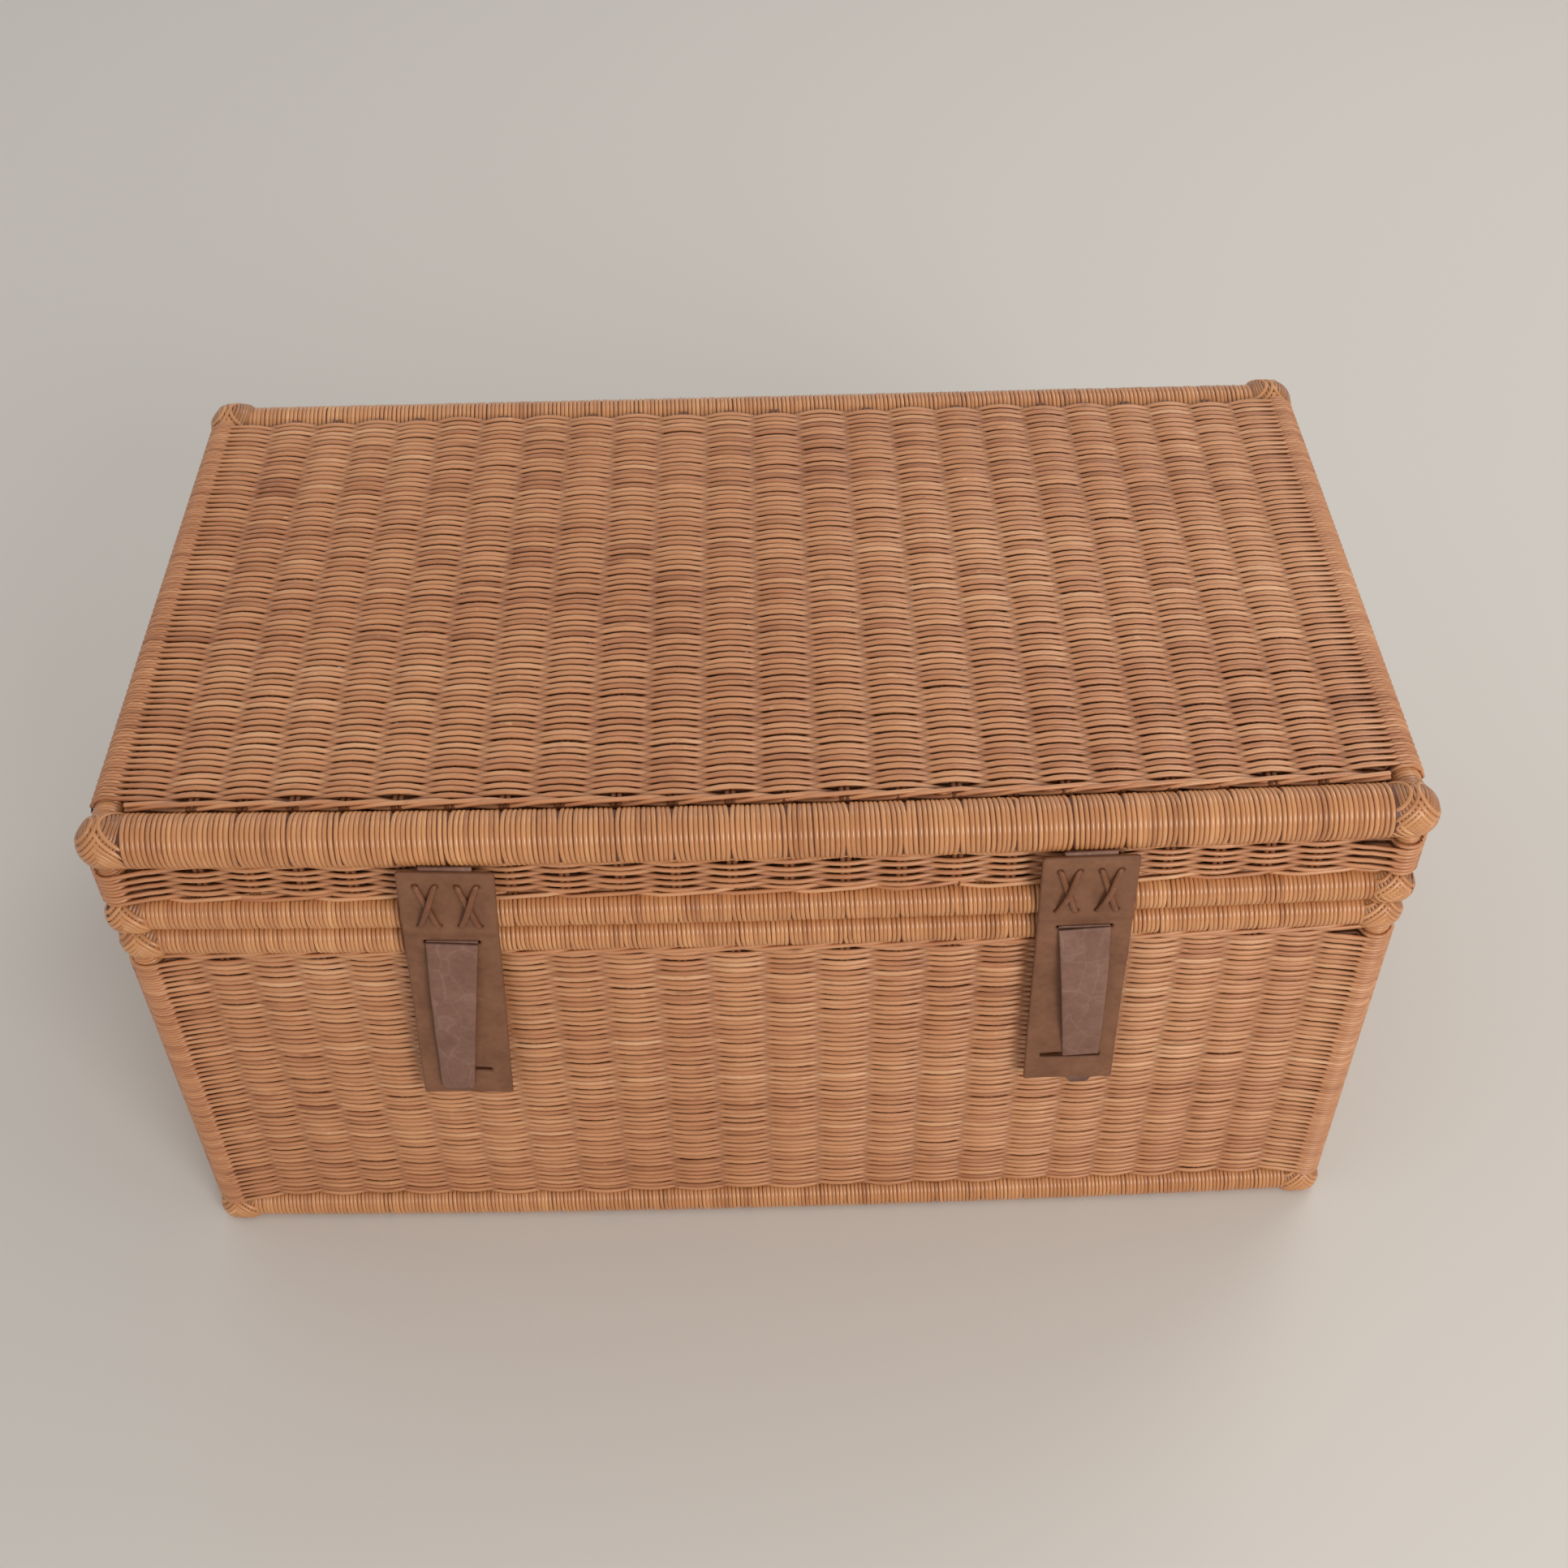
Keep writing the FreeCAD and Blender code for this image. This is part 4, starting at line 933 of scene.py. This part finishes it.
def leather_plate(name, side):
    """Whole latch plate with its lace holes and two slits, softly creased."""
    curve = bpy.data.curves.new(name, "CURVE")
    curve.dimensions = "2D"
    curve.fill_mode = "BOTH"
    edge = 0.5 * MM
    curve.extrude = PLATE_T / 2 - edge
    curve.bevel_depth = edge
    curve.offset = -edge
    curve.bevel_resolution = 2

    def loop(points):
        spline = curve.splines.new("POLY")
        spline.points.add(len(points) - 1)
        for p, (x, y) in zip(spline.points, points):
            p.co = (x, y, 0, 1)
        spline.use_cyclic_u = True

    def rounded(w, low, high, r, steps=5):
        points = []
        for quarter, (cx, cy) in enumerate(((w - r, high - r), (r - w, high - r),
                                            (r - w, low + r), (w - r, low + r))):
            for a in np.radians(90 * quarter + np.linspace(0, 90, steps)):
                points.append((cx + r * math.cos(a), cy + r * math.sin(a)))
        return points

    loop(rounded(PLATE_W / 2, PLATE_BOTTOM, PLATE_TOP, 2.2 * MM))
    for x in HOLE_X:
        for z in HOLE_Z:
            loop([(x + HOLE_R * math.cos(a), z + HOLE_R * math.sin(a))
                  for a in np.linspace(0, 2 * math.pi, 12, endpoint=False)])
    low_w, low_h = OPEN_SLIT if side == "right" else (LOW_SLIT_W, LOW_SLIT_H)
    slits = ((SLIT_Z, SLIT_W, SLIT_H), (LOW_SLIT_Z, low_w, low_h))
    for z, w, h in slits:
        loop(rounded(w / 2, z - h / 2, z + h / 2, 1.0 * MM, 3))
    raw = new_object(name + "_outline", curve)
    flat = as_mesh(raw)
    bpy.data.objects.remove(raw)
    body = new_object(name, flat)
    remesh = body.modifiers.new("even", "REMESH")
    remesh.mode = "VOXEL"
    remesh.voxel_size = VOXEL
    even = as_mesh(body)
    body.modifiers.clear()
    body.data = even
    co = np.zeros(len(even.vertices) * 3)
    even.vertices.foreach_get("co", co)
    co = co.reshape(-1, 3)
    x, z, t = co[:, 0].copy(), co[:, 1].copy(), co[:, 2].copy()
    phase = 0.7 if side == "left" else 2.1
    below = fraction((FLEX_Z - z) / (60 * MM))
    curl = 1.3 * MM * (np.abs(x) / (PLATE_W / 2)) ** 3 * np.sin(z * 41 + phase) * below
    wave = 0.7 * MM * np.sin(z * 62 + phase + x * 22) * below
    crease = 0.0
    for zc, slope, size in ((296, 0.35, 0.5), (262, -0.5, 0.7), (231, 0.3, 0.6), (205, -0.2, 0.5)):
        line = z - zc * MM - slope * (x if side == "left" else -x)
        crease = crease - size * MM * np.exp(-(line / (1.3 * MM)) ** 2)
    crease = crease * (0.75 if side == "left" else 0.35)
    fold = 0.55 * MM * np.exp(-((z - FLEX_Z) / (3 * MM)) ** 2)
    shift = np.maximum(curl + wave, -0.35 * MM) + fold
    y = PLATE_IN_Y - PLATE_T / 2 - t - shift - np.where(t > 0, crease, 0)
    even.vertices.foreach_set("co", np.stack([x, y, z], -1).ravel())
    rim = np.minimum(PLATE_W / 2 - np.abs(x), np.minimum(PLATE_TOP - z, z - PLATE_BOTTOM))
    for hx in HOLE_X:
        for hz in HOLE_Z:
            rim = np.minimum(rim, np.hypot(x - hx, z - hz) - HOLE_R)
    for sz, w, h in slits:
        beside = np.maximum(np.abs(x) - w / 2, 0)
        rim = np.minimum(rim, np.hypot(beside, np.maximum(np.abs(z - sz) - h / 2, 0)))
    wear = fraction(1 - rim / (1.5 * MM)) * 0.7
    wear = wear + 0.5 * np.exp(-((z - FLEX_Z) / (2 * MM)) ** 2)
    set_values(even, "depth", fraction(wear))
    even.polygons.foreach_set("use_smooth", np.ones(len(even.polygons), bool))
    even.update()
    return body


def strip_object(name, path, out, widths, thickness):
    """Leather strip along a line of points in the plane X = 0, widths in X."""
    part = sweep(path[None], out[None], (widths / 2)[None], thickness / 2, SLAB, 0.5, 0.25)
    obj = mesh_object(name, part)
    mesh = bmesh.new()
    mesh.from_mesh(obj.data)
    bmesh.ops.holes_fill(mesh, edges=[e for e in mesh.edges if e.is_boundary], sides=0)
    bmesh.ops.recalc_face_normals(mesh, faces=mesh.faces)
    mesh.to_mesh(obj.data)
    mesh.free()
    return obj


def smooth_line(points, steps):
    """Points spaced evenly along a smooth line through the given ones."""
    p = np.asarray(points, float)
    padded = np.concatenate([2 * p[:1] - p[1:2], p, 2 * p[-1:] - p[-2:-1]])
    out = []
    for i in range(len(p) - 1):
        a, b, c, d = padded[i:i + 4]
        for t in np.linspace(0, 1, steps, endpoint=False):
            out.append(0.5 * (2 * b + (c - a) * t + (2 * a - 5 * b + 4 * c - d) * t ** 2
                              + (3 * b - a - 3 * c + d) * t ** 3))
    out.append(p[-1])
    return np.array(out)


def normals_of(line):
    """Outward side of a line of points in the plane X = 0."""
    tangent = unit(np.gradient(line, axis=0))
    return np.cross(tangent, EX)


def latch_tongue(name, tucked):
    """Tongue from the upper slit: loose in front of the lower slit, or tucked through it."""
    w0 = TONGUE_GAP + TONGUE_T / 2
    rise = TUCKED_RISE if tucked else LOOSE_RISE
    end = (LOW_SLIT_Z + 7 * MM) if tucked else LOOSE_END
    f = np.linspace(0, 1, 15)
    out = w0 + rise * np.sin(math.pi * f ** 0.8) ** 1.2
    points = [(0, PLATE_OUT_Y - a, SLIT_Z - (SLIT_Z - end) * b) for a, b in zip(out, f)]
    if tucked:
        middle = -PLATE_T / 2
        behind = 2 * middle - w0 - 0.3 * MM
        for w, drop in ((w0, -3.0), (middle + 1.9 * MM, -0.7), (middle, 0.0),
                        (middle - 1.9 * MM, 0.7), (behind, 3.0), (behind, 6.0)):
            points.append((0, PLATE_OUT_Y - w, LOW_SLIT_Z - drop * MM))
        points.append((0, PLATE_OUT_Y - behind, TUCKED_END))
    line = smooth_line(points, 4)
    reach = np.concatenate([[0], np.cumsum(np.linalg.norm(np.diff(line, axis=0), axis=1))])
    share = reach / reach[-1]
    width = STRAP_W + (TONGUE_END_W - STRAP_W) * share
    nose = fraction((1 - share) * reach[-1] / (5 * MM))
    width = width * (0.55 + 0.45 * np.sqrt(1 - (1 - nose) ** 2))
    line[:, 1] += 0.35 * MM * np.sin(share * 19)
    return strip_object(name, line, -normals_of(line), width, TUCKED_T if tucked else TONGUE_T)


def lace_path(x_top, x_low, lift):
    """One thong: in through a high hole, across the plate's face and out through a low one."""
    y = PLATE_OUT_Y - LACE_R
    deep = PLATE_IN_Y + 4 * MM

    def end(x, other, z, inward):
        return [(x, deep, z), (x, PLATE_OUT_Y + 0.6 * MM, z),
                (x + (other - x) * 0.12, y + 0.3 * MM, z + inward * 2.2 * MM)]

    middle = [((x_top + x_low) / 2, y - lift, sum(HOLE_Z) / 2)]
    return smooth_line(end(x_top, x_low, HOLE_Z[0], -1) + middle
                       + end(x_low, x_top, HOLE_Z[1], 1)[::-1], 5)


def strap_strip(name, back, steps, thickness):
    """A stretch of the strap behind the plate, back giving y and z along it."""
    line = smooth_line([(0, y, z * MM) for y, z in back], steps)
    return strip_object(name, line, normals_of(line), np.full(len(line), STRAP_W), thickness)


STRAP_Y = PLATE_IN_Y + 1.1 * MM
STRAP_BACK = ((STRAP_Y, 317.0), (STRAP_Y, 340.0), (STRAP_Y + 0.1 * MM, 358.0),
              (STRAP_Y - 0.2 * MM, 370.2))
STRAP_BEND = ((STRAP_Y, 313.4), (STRAP_Y, 311.0), (STRAP_Y - 0.5 * MM, 308.8),
              (PLATE_IN_Y - 1.2 * MM, 308.0), (PLATE_OUT_Y - 0.2 * MM, 308.0))

for side, x, tilt, lean in LATCHES:
    flap_body = "latch_flap_" + side
    plate = leather_plate("leather_plate_" + side, side)
    set_latch(plate, x, tilt)
    finish_piece(plate, plate_look, None, ("latch_plate_" + side, flap_body))
    y = SET_BACK + PLATE_IN_Y - PLATE_T / 2
    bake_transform(plate)

    tongue_body = "latch_tongue_" + side
    tongue = latch_tongue("leather_tongue_" + side, side == "right")
    turned(tongue, lean, SLIT_Z)
    strap = strap_strip("leather_strap_" + side, STRAP_BACK, 5, 2.0 * MM)
    root = strap_strip("leather_strap_bend_" + side, STRAP_BEND, 4, 1.8 * MM)
    for obj, body, node in ((tongue, tongue_body, tongue_body),
                            (strap, "lid", "latch_strap_" + side),
                            (root, flap_body, "latch_strap_root_" + side)):
        set_latch(obj, x, tilt)
        finish_piece(obj, tongue_look, body, (node,))

    strands = []
    for a, b in (HOLE_X[:2], HOLE_X[2:]):
        for top, low, lift in ((a, b, 0.0), (b, a, 2.6 * MM)):
            path = lace_path(top, low, lift)
            share = np.linspace(0, 1, len(path))
            half = LACE_R + 0.45 * MM * fraction(np.sin(math.pi * share) * 1.6 - 0.6)
            out = np.broadcast_to(-EY, path.shape) + 0.001
            strands.append(sweep(path[None], out[None], half[None], LACE_R * 0.85, ROUND,
                                 rng.uniform(0.3, 0.7)))
    lace = mesh_object("leather_laces_" + side, joined(strands))
    set_latch(lace, x, tilt)
    finish_piece(lace, lace_look, "lid", ("latch_laces_" + side,))


LOOP_MID_R = 12.2 * MM
LOOP_HALF_W = 11.0 * MM
LOOP_HALF_T = 1.08 * MM


def hinge_loop(xc):
    """Closed strap round the two back rails, drawn in a little between them."""
    ring = []
    for s, z, z_next in ((1, Z_LID_LOW, Z_BASE_TOP), (-1, Z_BASE_TOP, Z_LID_LOW)):
        ring += [(s * LOOP_MID_R * math.cos(a), z + s * LOOP_MID_R * math.sin(a))
                 for a in np.radians(np.linspace(0, 180, 15))]
        ring += [(-s * (LOOP_MID_R - d * MM), b)
                 for d, b in zip((0.35, 0.7, 0.35), np.linspace(z, z_next, 5)[1:-1])]
    path = np.array([(xc, SET_BACK + Y_RING + a, b) for a, b in ring])
    centre = path.copy()
    centre[:, 1] = SET_BACK + Y_RING
    centre[:, 2] = np.clip(path[:, 2], Z_BASE_TOP, Z_LID_LOW)
    return sweep(path[None], (path - centre)[None], LOOP_HALF_W, LOOP_HALF_T, SLAB, 0.5, 0.1,
                 closed=True)


hinge_loops = mesh_object("leather_hinge_loops", joined([hinge_loop(xc) for xc in LOOP_X]))
finish_piece(hinge_loops, loop_look, "base", ("hinge_loops",))


# ---- CAD pieces that stay: poles, posts and stakes ----
for name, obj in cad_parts.items():
    if "_pole_" in name or name.endswith("corner_posts"):
        set_look(obj, pole_look)
    if "_stakes" in name:
        set_look(obj, stake_look)


# ---- floor, light and camera ----
FLOOR_SIZE = 40.0  # half the floor's side, in metres


def stage_floor():
    n = Nodes("studio_floor")
    n.feed(n.shader, {"Base Color": srgb(214, 209, 202), "Roughness": 0.75})
    mesh = bpy.data.meshes.new("studio_floor")
    corners = [(-FLOOR_SIZE, -FLOOR_SIZE, 0), (FLOOR_SIZE, -FLOOR_SIZE, 0),
               (FLOOR_SIZE, FLOOR_SIZE, 0), (-FLOOR_SIZE, FLOOR_SIZE, 0)]
    mesh.from_pydata(corners, [], [(0, 1, 2, 3)])
    mesh.materials.append(n.material)
    obj = new_object("studio_floor", mesh)
    obj.location.z = -0.2 * MM
    obj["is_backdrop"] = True


def set_down(name, data, axes, place):
    """A light or camera at place, with its own axes along axes."""
    rows = [list(row) + [p] for row, p in zip(np.stack(axes, 1), place)]
    obj = new_object(name, data)
    obj.matrix_world = Matrix(rows + [[0, 0, 0, 1]])
    return obj


def area_light(name, place, target, size, power, colour):
    light = bpy.data.lights.new(name, "AREA")
    light.shape = "DISK"
    light.size = size
    light.energy = power
    light.color = colour
    z = unit(np.asarray(place, float) - np.asarray(target, float))
    x = unit(np.cross(EZ, z))
    set_down(name, light, (x, np.cross(z, x), z), place)


def world_light(colour, strength):
    world = bpy.data.worlds.new("studio")
    world.use_nodes = True
    background = world.node_tree.nodes["Background"]
    background.inputs["Color"].default_value = colour
    background.inputs["Strength"].default_value = strength
    bpy.context.scene.world = world


def camera_at(place, yaw, pitch, roll, lens):
    yaw, pitch, roll = (math.radians(a) for a in (yaw, pitch, roll))
    right = np.array([math.cos(yaw), math.sin(yaw), 0.0])
    ahead = np.array([-math.sin(yaw), math.cos(yaw), 0.0])
    look = ahead * math.cos(pitch) - EZ * math.sin(pitch)
    up = ahead * math.sin(pitch) + EZ * math.cos(pitch)
    side = right * math.cos(roll) + up * math.sin(roll)
    top = up * math.cos(roll) - right * math.sin(roll)
    data = bpy.data.cameras.new("camera")
    data.sensor_width = 36.0
    data.lens = lens
    data.clip_end = 50.0
    bpy.context.scene.camera = set_down("camera", data, (side, top, -look), place)


bpy.context.scene.view_settings.view_transform = "Standard"
stage_floor()
world_light((1.0, 0.99, 0.975, 1.0), 0.62)
area_light("key", (1.6, 1.5, 2.2), (0.0, 0.0, 0.2), 1.5, 14.0, (1.0, 0.98, 0.95))
area_light("front", (1.1, -2.2, 1.5), (0.1, 0.0, 0.2), 1.2, 29.0, (1.0, 0.98, 0.95))
camera_at((7.87 * MM, -986.4 * MM, 1190.6 * MM), -0.5016, 44.942, -1.0477, 44.58)

low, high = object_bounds()
